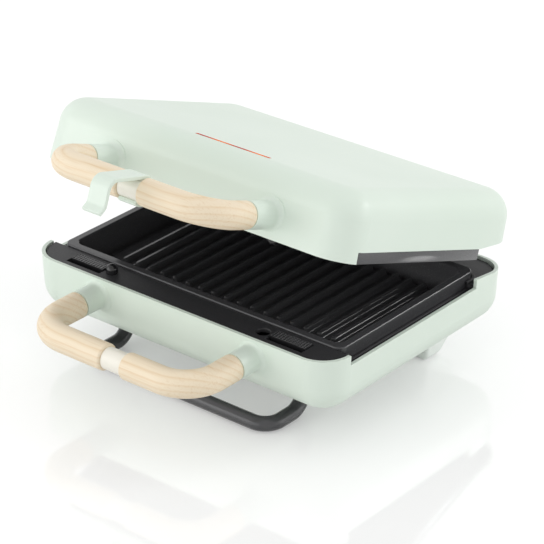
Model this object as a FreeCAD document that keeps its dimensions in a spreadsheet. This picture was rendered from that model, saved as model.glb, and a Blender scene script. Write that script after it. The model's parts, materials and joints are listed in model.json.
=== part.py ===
"""A two-sided contact grill with a hinged lid, removable ribbed plates and bent wooden handles.

Each half is modelled in its own half frame: X runs to the right, Y to the rear, Z = 0 is the rim
plane of the housing and the housing hangs below it. The base keeps that frame and is lifted off
the floor. The lid is the same kind of half turned over about Y, laid on the base and swung open.
"""
import FreeCAD, Part
import math
import os
from types import SimpleNamespace

import Sketcher

Vector = FreeCAD.Vector

# Driving dimensions in millimetres and degrees: name, value, meaning
SIZES = [
    ("base_width", 252, "housing width at the rim"),
    ("base_depth", 193, "housing depth at the rim"),
    ("corner_radius", 22, "rounding of the housing corners in plan"),
    ("base_height", 40, "height of the base housing below its rim"),
    ("lid_height", 43.4, "height of the lid housing above its rim"),
    ("base_edge_radius", 18.5, "rounding along the underside of the base"),
    ("lid_edge_radius", 18, "rounding along the top of the lid"),
    ("wall_draft", 2.5, "draft angle of the base walls"),
    ("lid_draft", 3, "draft angle of the lid walls"),
    ("wall", 2.4, "thickness of the housing walls"),
    ("rim_level", 66.5, "height of the base rim above the floor"),
    ("lid_gap", 0.9, "gap between the two rims when the lid is shut"),
    ("lid_angle", 20, "opening of the lid as it stands"),
    ("notch_front_inset", 22, "front end of the side notches, behind the housing's front edge"),
    ("notch_rear_inset", 39.5, "rear end of the side notches, ahead of the housing's rear edge"),
    ("lid_notch_rear_inset", 41.5, "rear end of the lid's side notches, ahead of the rear edge"),
    ("notch_depth", 6.6, "depth of the side notches below the rim"),
    ("rear_fall", 5.5, "how far the base rim slopes down behind the side notches"),
    ("lid_notch_front_inset", 16, "front end of the lid's side notches, behind the front edge"),
    ("lid_notch_depth", 7.4, "depth of the lid's side notches"),
    ("lid_rear_lift", 13.8, "how far the lid's rear edge is cut up from its rim"),
    ("deck_drop", 1, "depth of the deck below the rim"),
    ("deck_sheet", 3, "thickness of the deck"),
    ("deck_gap", 0.6, "gap between the deck and the housing wall"),
    ("rear_deck_drop", 6.8, "depth of the base's rear deck below the rim"),
    ("lid_rear_deck_drop", 11.6, "depth of the lid's rear deck below the rim"),
    ("skirt_wall", 2, "thickness of the skirt round the plate"),
    ("skirt_depth", 12, "height of the skirt below the deck"),
    ("side_rail_drop", 9, "depth of the skirt's side rails below the rim"),
    ("plate_side_margin", 9.5, "housing's side to the side of a plate"),
    ("plate_front_margin", 23.9, "housing's front edge to the front of a plate"),
    ("plate_rear_margin", 28.5, "housing's rear edge to the rear of a plate"),
    ("plate_corner", 6, "rounding of the plate corners"),
    ("plate_gap", 0.4, "gap between a plate and the skirt"),
    ("plate_proud", 0.3, "how far a plate stands above the rim"),
    ("plate_rim", 5.5, "width of the flat rim of a plate"),
    ("plate_wall_height", 11, "height of the upright outer wall of a plate"),
    ("tray_depth", 19.5, "depth of the cooking tray at its grease channel"),
    ("tray_slope", 14, "slope angle of the tray walls"),
    ("tray_floor", 3, "thickness of the tray floor"),
    ("channel_width", 4.5, "width of the grease channel beside the ribbed bed"),
    ("bed_height", 2.5, "height of the ribbed bed above the channel"),
    ("rib_side_margin", 24.5, "plate's side to the outermost rib at the least"),
    ("rib_pitch", 11, "distance from rib to rib"),
    ("rib_width", 5, "width of a rib at its foot"),
    ("rib_height", 3.8, "height of a rib"),
    ("rib_slope", 16, "slope angle of the rib flanks"),
    ("rib_front_inset", 26.6, "front ends of the ribs, behind the plate's front edge"),
    ("rib_rear_inset", 14, "rear ends of the ribs, ahead of the plate's rear edge"),
    ("tab_inset", 46.5, "plate's side to the middle of a rear tab"),
    ("tab_width", 14, "width of a rear tab"),
    ("tab_reach", 4, "length of a rear tab"),
    ("tab_thickness", 2.6, "thickness of a rear tab"),
    ("tab_drop", 6, "depth of the tabs and catch noses below the rim"),
    ("catch_inset", 32.5, "plate's side to the middle of a catch"),
    ("catch_width", 28, "width of a catch pad"),
    ("catch_length", 8.6, "length of a catch pad from front to rear"),
    ("catch_ledge", 3, "deck left between a catch and the plate opening"),
    ("catch_travel", 3.4, "travel of a catch"),
    ("catch_gap", 0.4, "gap round a catch in its slot"),
    ("catch_proud", 0.4, "how far a catch pad stands above the deck"),
    ("catch_flange", 2, "overlap of the catch flange under the deck"),
    ("catch_nose", 2, "how far the nose of a catch reaches into the plate"),
    ("nose_width", 12, "width of the catch nose"),
    ("nose_thickness", 2.6, "thickness of the catch nose"),
    ("catch_foot", 9, "height of the catch below its flange"),
    ("spring_diameter", 5, "outer diameter of a catch spring"),
    ("spring_wire", 0.8, "wire of a catch spring"),
    ("spring_turns", 4, "turns of a catch spring"),
    ("post_side_inset", 62.5, "housing's side to the guide post and its hole"),
    ("post_front_inset", 13.5, "guide post behind the housing's front edge"),
    ("post_diameter", 8, "diameter of the guide post"),
    ("post_height", 6.5, "height of the guide post above the deck"),
    ("post_stem", 4, "diameter of the guide post's stem"),
    ("post_play", 0.6, "gap round the guide post in its hole"),
    ("handle_inset", 61, "housing's side to the middle of a handle arm"),
    ("handle_drop", 12.4, "depth of the lower handle below the base rim"),
    ("upper_handle_drop", 14, "height of the upper handle above the lid rim"),
    ("handle_reach", 57, "distance from the housing front to the handle's bar"),
    ("grip_diameter", 17.8, "diameter of the wooden grips"),
    ("grip_bend", 24, "bend radius of the grips"),
    ("core_diameter", 9, "diameter of the handle's inner bar"),
    ("core_root", 4.8, "how far a handle's inner bar reaches in behind the front wall's face"),
    ("core_play", 0.15, "gap between the inner bar and what it passes through"),
    ("neck_diameter", 14.6, "diameter of the bare neck in the middle of a handle"),
    ("neck_length", 16.2, "length of the bare neck"),
    ("neck_side", 5.2, "middle of the necks to the right of the centre"),
    ("socket_length", 17, "length of the base's handle sockets"),
    ("upper_socket_length", 21.5, "length of the lid's handle sockets"),
    ("socket_flare", 3.4, "radius of the flare where a socket meets the wall"),
    ("latch_strip", 2.6, "thickness of the latch strip"),
    ("latch_width", 14.6, "width of the latch"),
    ("latch_side", 5.2, "middle of the latch to the right of the centre"),
    ("latch_play", 0.06, "running gap between the latch and the neck"),
    ("latch_curl", 122, "angle that the latch curls under the neck"),
    ("latch_lead", 94.5, "angle at which the latch strip leaves the neck"),
    ("latch_reach", 24.5, "straight length of the latch strip"),
    ("latch_bend", 7, "radius of the bend at the front of the latch"),
    ("latch_drop", 8.4, "straight length of the hook"),
    ("latch_turn", 85, "angle of the bend at the front of the latch"),
    ("latch_kick", 40, "angle of the lip at the end of the hook"),
    ("latch_kick_bend", 5, "radius of the bend before the lip"),
    ("latch_lip", 4, "straight length of the lip"),
    ("hinge_inset", 3.5, "hinge axis ahead of the housing's rear edge"),
    ("hinge_rise", 1, "hinge axis above the base rim"),
    ("hinge_side_inset", 70, "housing's side to the middle of a hinge"),
    ("hinge_barrel", 10, "diameter of the hinge barrels"),
    ("hinge_pin", 4.4, "diameter of the hinge pins"),
    ("pin_head", 7, "head diameter of a hinge pin"),
    ("pin_end", 1.2, "how far a hinge pin and its head stand out of the ears"),
    ("hinge_play", 0.05, "running gap of the hinge pins"),
    ("arm_width", 16, "width of a base hinge arm"),
    ("ear_width", 5, "width of a lid hinge ear"),
    ("ear_gap", 0.4, "side gap between arm and ears"),
    ("ear_flange", 2.6, "thickness of the flange of a lid hinge bracket"),
    ("ear_seat", 14, "how far the flange of a lid hinge bracket reaches forward of the axis"),
    ("arm_depth", 3, "thickness of a hinge arm behind the rear wall"),
    ("arm_low", 24, "lower end of a hinge arm below the rim"),
    ("hinge_notch", 6.6, "depth of the notches in the rear wall for the hinges"),
    ("hinge_clear", 0.8, "gap round the hinges in their notches"),
    ("seat_gap", 0.15, "gap left where a bracket is screwed to a drafted wall"),
    ("stand_diameter", 10, "bar diameter of the front stand"),
    ("stand_side_inset", 51.5, "housing's side to the stand legs"),
    ("stand_post_inset", 39.5, "stand posts behind the housing's front edge"),
    ("stand_front_inset", 4.5, "stand front bar behind the housing's front edge"),
    ("stand_bend", 12, "bend radius of the stand"),
    ("stand_plate", 24, "diameter of the stand's socket plate"),
    ("stand_plate_sheet", 2, "thickness of the stand's socket plate"),
    ("foot_side_inset", 46, "housing's side to the middle of a rear foot"),
    ("foot_width", 32, "width of a rear foot"),
    ("foot_front_inset", 50.5, "front face of a rear foot, ahead of the housing's rear edge"),
    ("foot_length", 30, "length of a rear foot"),
    ("foot_heel", 14, "length of the slope at the heel of a rear foot"),
    ("foot_heel_rise", 11, "rise of the slope at the heel of a rear foot"),
    ("foot_round", 3, "rounding of the rear feet"),
    ("pad_diameter", 11, "diameter of a rubber pad"),
    ("pad_height", 2.4, "height of a rubber pad"),
    ("pad_sink", 1.4, "how far a pad sits in its foot"),
    ("pad_inset", 8.5, "pad centre behind the front face of its foot"),
    ("heater_diameter", 6.6, "diameter of a heating tube"),
    ("heater_bend", 10.5, "bend radius of a heating tube"),
    ("heater_side_inset", 32.5, "plate's side to the heater's long legs"),
    ("heater_front_inset", 38.6, "front of the heater, behind the plate's front edge"),
    ("heater_middle", 8.5, "inner cross runs of the heater, ahead of the centre"),
    ("heater_rear_inset", 20.5, "cold ends of the heater, ahead of the housing's rear edge"),
    ("heater_gap", 0.3, "gap above and below a heating tube"),
    ("tail_spread", 20, "place of the cold ends either side of the centre"),
    ("heater_step", 22, "distance from the cold ends to the heater's inner legs"),
    ("shield_sheet", 0.8, "sheet of the heat shield"),
    ("shield_side_inset", 14.5, "plate's side to the side of the heat shield"),
    ("shield_front_inset", 20.6, "front of the heat shield, behind the plate's front edge"),
    ("shield_rear_inset", 8, "rear of the heat shield, ahead of the plate's rear edge"),
    ("shield_wall", 3.5, "height of the heat shield's turned edge"),
    ("boss_diameter", 8.6, "diameter of the screw bosses"),
    ("boss_bore", 3.4, "bore of the screw bosses"),
    ("boss_pocket", 6.8, "diameter of the screw pocket under a base boss"),
    ("pocket_depth", 6, "depth of the screw pocket under a base boss"),
    ("boss_side_inset", 81, "housing's side to the deck bosses"),
    ("boss_front_inset", 17, "front deck bosses behind the housing's front edge"),
    ("boss_split", 22, "where the base bosses meet the deck's stubs, below the rim"),
    ("shield_boss_inset", 10, "side of the heat shield to its bosses"),
    ("shield_boss_end_inset", 22, "front of the heat shield to its front bosses"),
    ("screw_head", 6, "head diameter of a housing screw"),
    ("screw_head_height", 2.2, "head height of a housing screw"),
    ("screw_shank", 3, "shank diameter of a housing screw"),
    ("screw_length", 22, "shank length of a base deck screw"),
    ("lid_screw_length", 12, "shank length of a lid deck screw"),
    ("shield_screw_length", 5.5, "shank length of a heat shield screw"),
    ("screw_play", 0.1, "gap of a screw in its hole"),
    ("gland_bore", 7, "bore of the cord gland"),
    ("gland_body", 11, "diameter of the cord gland in the wall"),
    ("gland_collar", 17, "diameter of the cord gland's collar"),
    ("gland_reach", 8, "how far the cord gland stands out of the wall"),
    ("gland_inside", 6, "how far the cord gland reaches in behind the wall's face"),
    ("gland_drop", 24, "depth of the cord gland below the rim"),
    ("vent_count", 7, "number of vent slots in the underside"),
    ("vent_pitch", 12, "distance from vent to vent"),
    ("vent_width", 3.6, "width of a vent slot"),
    ("vent_length", 34, "length of a vent slot"),
    ("block_length", 34, "length of the terminal block"),
    ("block_width", 13, "width of the terminal block"),
    ("block_height", 14, "height of the terminal block"),
    ("block_side", 46, "terminal block beside the centre"),
    ("block_rear_inset", 27, "terminal block ahead of the housing's rear edge"),
    ("thermostat_diameter", 15, "diameter of the thermostat"),
    ("thermostat_height", 9, "height of the thermostat"),
    ("thermostat_side", 64, "thermostat beside the centre"),
    ("thermostat_rear_inset", 27, "thermostat ahead of the housing's rear edge"),
    ("fuse_diameter", 4, "diameter of the thermal fuse"),
    ("fuse_length", 12, "length of the thermal fuse"),
    ("stripe_length", 60, "length of the coloured stripe on the lid"),
    ("stripe_width", 2.8, "width of the coloured stripe"),
    ("stripe_depth", 0.6, "how deep the stripe is let into the lid"),
    ("stripe_proud", 0.1, "how far the stripe stands above the lid"),
    ("stripe_side", 11.6, "centre of the stripe to the right of the centre"),
    ("stripe_front_inset", 21.9, "stripe behind the housing's front edge"),
]

doc = FreeCAD.newDocument("ContactGrill")
sheet = doc.addObject("Spreadsheet::Sheet", "Sizes")


class Dim:
    """A size that carries its value and the spreadsheet formula it comes from."""

    def __init__(self, value, formula):
        self.value = value
        self.formula = formula

    def __add__(self, other):
        other = as_dim(other)
        return Dim(self.value + other.value, f"({self.formula} + {other.formula})")

    def __sub__(self, other):
        other = as_dim(other)
        return Dim(self.value - other.value, f"({self.formula} - {other.formula})")

    def __mul__(self, other):
        other = as_dim(other)
        return Dim(self.value * other.value, f"({self.formula} * {other.formula})")

    def __truediv__(self, other):
        other = as_dim(other)
        return Dim(self.value / other.value, f"({self.formula} / {other.formula})")

    def __neg__(self):
        return Dim(-self.value, f"(-{self.formula})")

    def __radd__(self, other):
        return as_dim(other) + self

    def __rsub__(self, other):
        return as_dim(other) - self

    def __rmul__(self, other):
        return as_dim(other) * self


def as_dim(number):
    """Turns a plain number into a size."""
    if isinstance(number, Dim):
        return number
    return Dim(float(number), f"{float(number):g}")


def tangent(angle):
    return Dim(math.tan(math.radians(angle.value)), f"tan({angle.formula} * 1 deg)")


def cosine(angle):
    return Dim(math.cos(math.radians(angle.value)), f"cos({angle.formula} * 1 deg)")


def sine(angle):
    return Dim(math.sin(math.radians(angle.value)), f"sin({angle.formula} * 1 deg)")


def whole(size):
    """The whole number below a size."""
    return Dim(float(math.floor(size.value)), f"floor({size.formula})")


def fill_sheet():
    """Writes the driving dimensions into the sheet and returns them as sizes."""
    found = {}
    for row, (alias, value, meaning) in enumerate(SIZES, start=1):
        sheet.set(f"A{row}", meaning)
        sheet.set(f"B{row}", str(value))
        sheet.setAlias(f"B{row}", alias)
        found[alias] = Dim(float(value), f"Sizes.{alias}")
    doc.recompute()
    return SimpleNamespace(**found)


s = fill_sheet()

# Places that follow the edges of the housing, of a plate or of a heat shield
half_width = s.base_width / 2
half_depth = s.base_depth / 2
notch_front = half_depth - s.notch_front_inset
notch_rear = half_depth - s.notch_rear_inset
lid_notch_front = half_depth - s.lid_notch_front_inset
lid_notch_rear = half_depth - s.lid_notch_rear_inset
hinge_back = half_depth - s.hinge_inset
hinge_spread = half_width - s.hinge_side_inset
handle_spread = half_width - s.handle_inset
post_spread = half_width - s.post_side_inset
post_front = half_depth - s.post_front_inset
boss_side = half_width - s.boss_side_inset
boss_front = half_depth - s.boss_front_inset
stand_spread = half_width - s.stand_side_inset
stand_rear = half_depth - s.stand_post_inset
stand_front = half_depth - s.stand_front_inset
foot_spread = half_width - s.foot_side_inset
foot_front = half_depth - s.foot_front_inset
block_back = half_depth - s.block_rear_inset
thermostat_back = half_depth - s.thermostat_rear_inset
stripe_front = half_depth - s.stripe_front_inset
plate_width = s.base_width - s.plate_side_margin * 2
plate_front = half_depth - s.plate_front_margin
plate_rear = half_depth - s.plate_rear_margin
rib_count = whole((plate_width - s.rib_side_margin * 2) / s.rib_pitch) + 1
rib_front = plate_front - s.rib_front_inset
rib_rear = plate_rear - s.rib_rear_inset
tab_spread = plate_width / 2 - s.tab_inset
catch_spread = plate_width / 2 - s.catch_inset
heater_span = plate_width / 2 - s.heater_side_inset
heater_front = plate_front - s.heater_front_inset
heater_rear = half_depth - s.heater_rear_inset
shield_width = plate_width - s.shield_side_inset * 2
shield_front = plate_front - s.shield_front_inset
shield_rear = plate_rear - s.shield_rear_inset
shield_boss_side = shield_width / 2 - s.shield_boss_inset
shield_boss_front = shield_front - s.shield_boss_end_inset


def bind(item, name, size):
    """Ties a property of a document object to the sheet."""
    item.setExpression(name, as_dim(size).formula)


def new_body(label):
    body = doc.addObject("PartDesign::Body", label)
    body.Label = label
    return body


def new_sketch(body, plane, offset=None):
    """Starts a sketch on one of a body's own origin planes, moved along its normal."""
    sketch = body.newObject("Sketcher::SketchObject", "Sketch")
    support = next(item for item in body.Origin.OriginFeatures if item.Role == plane)
    sketch.AttachmentSupport = [(support, "")]
    sketch.MapMode = "FlatFace"
    if offset is not None:
        bind(sketch, "AttachmentOffset.Base.z", offset)
    doc.recompute()
    return sketch


def fix_point(sketch, geometry, end, x, y):
    """Holds one point of a sketch at a place given by two sizes."""
    for kind, axis, size in (("DistanceX", -2, as_dim(x)), ("DistanceY", -1, as_dim(y))):
        if abs(size.value) < 1e-9:
            sketch.addConstraint(Sketcher.Constraint("PointOnObject", geometry, end, axis))
            continue
        index = sketch.addConstraint(Sketcher.Constraint(kind, -1, 1, geometry, end, size.value))
        bind(sketch, f"Constraints[{index}]", size)


def fix_radius(sketch, geometry, radius):
    index = sketch.addConstraint(Sketcher.Constraint("Radius", geometry, radius.value))
    bind(sketch, f"Constraints[{index}]", radius)


def place_of(point):
    return Vector(as_dim(point[0]).value, as_dim(point[1]).value, 0)


def draw_polygon(sketch, points):
    """Draws a closed outline of straight lines through the given points."""
    lines = []
    for start, end in zip(points, points[1:] + points[:1]):
        lines.append(sketch.addGeometry(Part.LineSegment(place_of(start), place_of(end))))
    for line, following in zip(lines, lines[1:] + lines[:1]):
        sketch.addConstraint(Sketcher.Constraint("Coincident", line, 2, following, 1))
    for line, point in zip(lines, points):
        fix_point(sketch, line, 1, *point)


def draw_rectangle(sketch, left, right, low, high):
    draw_polygon(sketch, [(left, low), (right, low), (right, high), (left, high)])


def draw_rounded(sketch, left, right, low, high, radius):
    """Draws a rectangle with four round corners."""
    quarter = math.pi / 2
    centres = [(left + radius, low + radius), (right - radius, low + radius),
               (right - radius, high - radius), (left + radius, high - radius)]
    arcs = []
    for number, centre in enumerate(centres):
        circle = Part.Circle(place_of(centre), Vector(0, 0, 1), radius.value)
        start = quarter * (number + 2)
        arcs.append(sketch.addGeometry(Part.ArcOfCircle(circle, start, start + quarter)))
    lines = []
    for arc, following in zip(arcs, arcs[1:] + arcs[:1]):
        ends = (sketch.Geometry[arc].EndPoint, sketch.Geometry[following].StartPoint)
        lines.append(sketch.addGeometry(Part.LineSegment(*ends)))
    for arc, line, following in zip(arcs, lines, arcs[1:] + arcs[:1]):
        sketch.addConstraint(Sketcher.Constraint("Tangent", arc, 2, line, 1))
        sketch.addConstraint(Sketcher.Constraint("Tangent", line, 2, following, 1))
    for arc, centre in zip(arcs, centres):
        fix_point(sketch, arc, 3, *centre)
        fix_radius(sketch, arc, radius)


def draw_slot(sketch, x, low, high, width):
    """Draws a slot from front to rear with two round ends."""
    radius = width / 2
    centres = [(x, low + radius), (x, high - radius)]
    arcs = []
    for centre, start in zip(centres, (math.pi, 0)):
        circle = Part.Circle(place_of(centre), Vector(0, 0, 1), radius.value)
        arcs.append(sketch.addGeometry(Part.ArcOfCircle(circle, start, start + math.pi)))
    for arc, following in zip(arcs, reversed(arcs)):
        ends = (sketch.Geometry[arc].EndPoint, sketch.Geometry[following].StartPoint)
        line = sketch.addGeometry(Part.LineSegment(*ends))
        sketch.addConstraint(Sketcher.Constraint("Tangent", arc, 2, line, 1))
        sketch.addConstraint(Sketcher.Constraint("Tangent", line, 2, following, 1))
    for arc, centre in zip(arcs, centres):
        fix_point(sketch, arc, 3, *centre)
        fix_radius(sketch, arc, radius)


def draw_strip(sketch, half_width, inner, outer, radius):
    """Draws a strip across the housing whose two outer corners are round."""
    quarter = math.pi / 2
    side = 1 if outer.value > 0 else -1
    bow = outer - radius * side
    turns = {1: ((0, 1), (1, 2)), -1: ((3, 4), (2, 3))}[side]
    arcs = []
    for sign, (start, end) in zip((1, -1), turns):
        circle = Part.Circle(place_of(((half_width - radius) * sign, bow)), Vector(0, 0, 1), radius.value)
        arcs.append(sketch.addGeometry(Part.ArcOfCircle(circle, start * quarter, end * quarter)))
    side_end, bow_end = (1, 2) if side > 0 else (2, 1)
    points = [sketch.getPoint(arcs[0], side_end), place_of((half_width, inner)),
              place_of((-half_width, inner)), sketch.getPoint(arcs[1], bow_end)]
    lines = [sketch.addGeometry(Part.LineSegment(*pair)) for pair in zip(points, points[1:])]
    front = (sketch.getPoint(arcs[1], side_end), sketch.getPoint(arcs[0], bow_end))
    lines.append(sketch.addGeometry(Part.LineSegment(*front)))
    for first, first_end, second, second_end, kind in (
            (arcs[0], side_end, lines[0], 1, "Tangent"), (lines[0], 2, lines[1], 1, "Coincident"),
            (lines[1], 2, lines[2], 1, "Coincident"), (lines[2], 2, arcs[1], bow_end, "Tangent"),
            (arcs[1], side_end, lines[3], 1, "Tangent"), (lines[3], 2, arcs[0], bow_end, "Tangent")):
        sketch.addConstraint(Sketcher.Constraint(kind, first, first_end, second, second_end))
    for sign, arc in zip((1, -1), arcs):
        fix_point(sketch, arc, 3, (half_width - radius) * sign, bow)
        fix_radius(sketch, arc, radius)
    fix_point(sketch, lines[1], 1, half_width, inner)
    index = sketch.addConstraint(Sketcher.Constraint("DistanceX", -1, 1, lines[1], 2, -half_width.value))
    bind(sketch, f"Constraints[{index}]", -half_width)


def draw_circle(sketch, x, y, radius):
    circle = sketch.addGeometry(Part.Circle(place_of((x, y)), Vector(0, 0, 1), radius.value))
    fix_point(sketch, circle, 3, x, y)
    fix_radius(sketch, circle, radius)


def settle(body, feature):
    """Makes a feature the tip of its body and stops if it did not come out."""
    body.Tip = feature
    doc.recompute()
    if "Invalid" in feature.State or feature.Shape.isNull():
        raise RuntimeError(f"{feature.Name} in {body.Label} did not come out: {feature.getStatusString()}")
    return feature


def extrude(body, kind, sketch, length, reverse=False, symmetric=False, taper=None):
    """Adds a Pad or Pocket of a sketch and makes it the body's tip."""
    feature = body.newObject(f"PartDesign::{kind}", kind)
    feature.Profile = sketch
    feature.Reversed = reverse
    if symmetric:
        feature.SideType = "Symmetric"
    bind(feature, "Length", length)
    if taper is not None:
        bind(feature, "TaperAngle", taper)
    return settle(body, feature)


def pad(body, sketch, length, **options):
    return extrude(body, "Pad", sketch, length, **options)


def pocket(body, sketch, length, **options):
    before = body.Shape.Volume
    feature = extrude(body, "Pocket", sketch, length, **options)
    if feature.Shape.Volume > before - 1e-6:
        raise RuntimeError(f"a pocket in {body.Label} cuts nothing")
    return feature


def pick_edges(feature, wanted):
    """Names the edges of a feature that a test on their bounding box accepts."""
    return [f"Edge{number}" for number, edge in enumerate(feature.Shape.Edges, start=1)
            if wanted(edge.BoundBox)]


def round_edges(body, names, radius):
    rounded = body.Tip
    feature = body.newObject("PartDesign::Fillet", "Fillet")
    feature.Base = (rounded, names)
    bind(feature, "Radius", radius)
    return settle(body, feature)


def level_edges(feature, level):
    """Names the edges that lie flat at one height."""
    return pick_edges(feature, lambda box: abs(box.ZMin - level) < 1e-4 and abs(box.ZMax - level) < 1e-4)


def pattern(body, features, plane_axis, count, pitch):
    """Repeats features in a row along one of the body's origin axes."""
    feature = body.newObject("PartDesign::LinearPattern", "LinearPattern")
    feature.Originals = features
    axis = next(item for item in body.Origin.OriginFeatures if item.Role == plane_axis)
    feature.Direction = (axis, [""])
    bind(feature, "Length", pitch * (count - 1))
    bind(feature, "Occurrences", count)
    return settle(body, feature)


def mirrored(body, features):
    """Repeats features on the other side of the centre."""
    feature = body.newObject("PartDesign::Mirrored", "Mirrored")
    feature.Originals = features
    plane = next(item for item in body.Origin.OriginFeatures if item.Role == "YZ_Plane")
    feature.MirrorPlane = (plane, [""])
    return settle(body, feature)


# Where the two halves stand: the base on the floor, the lid turned over, laid on it and swung open
latch_radius = s.neck_diameter / 2 + s.latch_play + s.latch_strip / 2
handle_line = s.base_depth / 2 + s.handle_reach
neck_rise = s.lid_gap + s.upper_handle_drop
lead = s.latch_lead
front_turn = s.latch_lead + s.latch_turn


def latch_route():
    """The latch's middle line as (y, z) points: neck, end of the strip, hook, lip."""
    strip_start = (latch_radius * cosine(lead), latch_radius * sine(lead))
    strip_end = (strip_start[0] - s.latch_reach * sine(lead), strip_start[1] + s.latch_reach * cosine(lead))
    bend_centre = (strip_end[0] - s.latch_bend * cosine(lead), strip_end[1] - s.latch_bend * sine(lead))
    hook_start = (bend_centre[0] + s.latch_bend * cosine(front_turn),
                  bend_centre[1] + s.latch_bend * sine(front_turn))
    hook_end = (hook_start[0] - s.latch_drop * sine(front_turn),
                hook_start[1] + s.latch_drop * cosine(front_turn))
    kick_centre = (hook_end[0] + s.latch_kick_bend * cosine(front_turn),
                   hook_end[1] + s.latch_kick_bend * sine(front_turn))
    lip_turn = front_turn - s.latch_kick
    lip_start = (kick_centre[0] - s.latch_kick_bend * cosine(lip_turn),
                 kick_centre[1] - s.latch_kick_bend * sine(lip_turn))
    lip_end = (lip_start[0] - s.latch_lip * sine(lip_turn), lip_start[1] + s.latch_lip * cosine(lip_turn))
    return SimpleNamespace(strip_start=strip_start, strip_end=strip_end, bend_centre=bend_centre,
                           hook_start=hook_start, hook_end=hook_end, kick_centre=kick_centre,
                           lip_start=lip_start, lip_end=lip_end, lip_turn=lip_turn)


route = latch_route()


def opened_y(y, z):
    """Where a point of the shut lid lies from front to rear once the lid is swung open."""
    return hinge_back + (y - hinge_back) * cosine(s.lid_angle) + (z - s.hinge_rise) * sine(s.lid_angle)


tip_y = route.lip_end[0] + s.latch_strip / 2 * cosine(route.lip_turn) - handle_line
tip_z = route.lip_end[1] + s.latch_strip / 2 * sine(route.lip_turn) + neck_rise
round_z = s.lid_height - s.lid_edge_radius
round_y = s.base_depth / 2 - round_z * tangent(s.lid_draft) - s.lid_edge_radius / cosine(s.lid_draft)
rear_reach = opened_y(round_y, round_z + s.lid_gap) + s.lid_edge_radius
frame_shift = -(rear_reach + opened_y(tip_y, tip_z)) / 2


def formula_vector(x, y, z):
    return f"vector({as_dim(x).formula}; {as_dim(y).formula}; {as_dim(z).formula})"


LEVEL = "rotation(vector(1; 0; 0); 0)"
TO_FLOOR = f"placement({formula_vector(0, frame_shift, s.rim_level)}; {LEVEL})"
OPENED = (f"placement({formula_vector(0, hinge_back, s.hinge_rise)};"
          f" rotation(vector(1; 0; 0); {(-s.lid_angle).formula}))"
          f" * placement({formula_vector(0, -hinge_back, -s.hinge_rise)}; {LEVEL})")
TURNED_OVER = f"placement({formula_vector(0, 0, s.lid_gap)}; rotation(vector(0; 1; 0); 180))"

PLACES = {"base": TO_FLOOR, "lid": f"{TO_FLOOR} * {OPENED} * {TURNED_OVER}",
          "lid_upright": f"{TO_FLOOR} * {OPENED}"}
finished = []


def finish(item, label, place):
    """Puts a finished sub-part in its place and adds it to the parts that are written."""
    item.Label = label
    item.setExpression("Placement", PLACES[place])
    finished.append(item)
    return item


def part_of(label, shape, place):
    """Adds a sub-part whose shape comes from a swept or joined form."""
    item = doc.addObject("Part::Feature", label)
    item.Shape = shape
    return finish(item, label, place)


def primitive(kind, **sizes):
    """Adds a Part primitive whose sizes and position follow the sheet."""
    item = doc.addObject(f"Part::{kind}", kind)
    for name, size in sizes.items():
        bind(item, name.replace("_at_", "Placement.Base."), size)
    return item


def fuse(items):
    joined = doc.addObject("Part::MultiFuse", "Joined")
    joined.Shapes = items
    return joined


def cut(base, tools):
    for tool in tools:
        less = doc.addObject("Part::Cut", "Less")
        less.Base = base
        less.Tool = tool
        base = less
    return base


def group(items, label, place):
    """Finishes one or more like solids as a single sub-part."""
    gathered = doc.addObject("Part::Compound", "Gathered")
    gathered.Links = items
    return finish(gathered, label, place)


def box_between(left, right, front, rear, low, high):
    return primitive("Box", Length=as_dim(right) - left, Width=as_dim(rear) - front,
                     Height=as_dim(high) - low, _at_x=left, _at_y=front, _at_z=low)


def cylinder_up(x, y, low, high, diameter):
    return primitive("Cylinder", Radius=as_dim(diameter) / 2, Height=as_dim(high) - low,
                     _at_x=x, _at_y=y, _at_z=low)


def cylinder_back(x, front, rear, level, diameter):
    """A round bar that runs from front to rear."""
    item = primitive("Cylinder", Radius=as_dim(diameter) / 2, Height=as_dim(rear) - front)
    start = formula_vector(x, front, level)
    item.setExpression("Placement", f"placement({start}; rotation(vector(1; 0; 0); -90))")
    return item


def cylinder_across(left, right, y, level, diameter):
    """A round bar that runs from left to right."""
    item = primitive("Cylinder", Radius=as_dim(diameter) / 2, Height=as_dim(right) - left)
    start = formula_vector(left, y, level)
    item.setExpression("Placement", f"placement({start}; rotation(vector(0; 1; 0); 90))")
    return item


def bent_path(points, bend):
    """A wire of straight runs joined by tangent arcs of one radius."""
    edges = []
    start = points[0]
    for before, corner, after in zip(points, points[1:], points[2:]):
        to_before = (before - corner).normalize()
        to_after = (after - corner).normalize()
        half = to_before.getAngle(to_after) / 2
        setback = bend / math.tan(half)
        middle = (to_before + to_after).normalize()
        arc_start = corner + to_before * setback
        arc_end = corner + to_after * setback
        arc_middle = corner + middle * (bend / math.sin(half) - bend)
        edges.append(Part.LineSegment(start, arc_start).toShape())
        edges.append(Part.Arc(arc_start, arc_middle, arc_end).toShape())
        start = arc_end
    edges.append(Part.LineSegment(start, points[-1]).toShape())
    return Part.Wire(edges)


def swept(path, section):
    """Sweeps a flat section along a wire of lines and arcs, one exact piece per edge."""
    pieces = []
    for edge in path.Edges:
        start = edge.valueAt(edge.FirstParameter)
        face = section(start, edge.tangentAt(edge.FirstParameter))
        if edge.Curve.TypeId == "Part::GeomLine":
            pieces.append(face.extrude(edge.valueAt(edge.LastParameter) - start))
        else:
            turn = math.degrees(edge.LastParameter - edge.FirstParameter)
            pieces.append(face.revolve(edge.Curve.Center, edge.Curve.Axis, turn))
    return pieces[0].multiFuse(pieces[1:]).removeSplitter()


def round_bar(path, diameter):
    """A round bar that follows a wire."""
    def section(start, heading):
        return Part.Face(Part.Wire(Part.Circle(start, heading, diameter / 2).toShape()))
    return swept(path, section)


def point(x, y, z):
    return Vector(as_dim(x).value, as_dim(y).value, as_dim(z).value)


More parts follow.
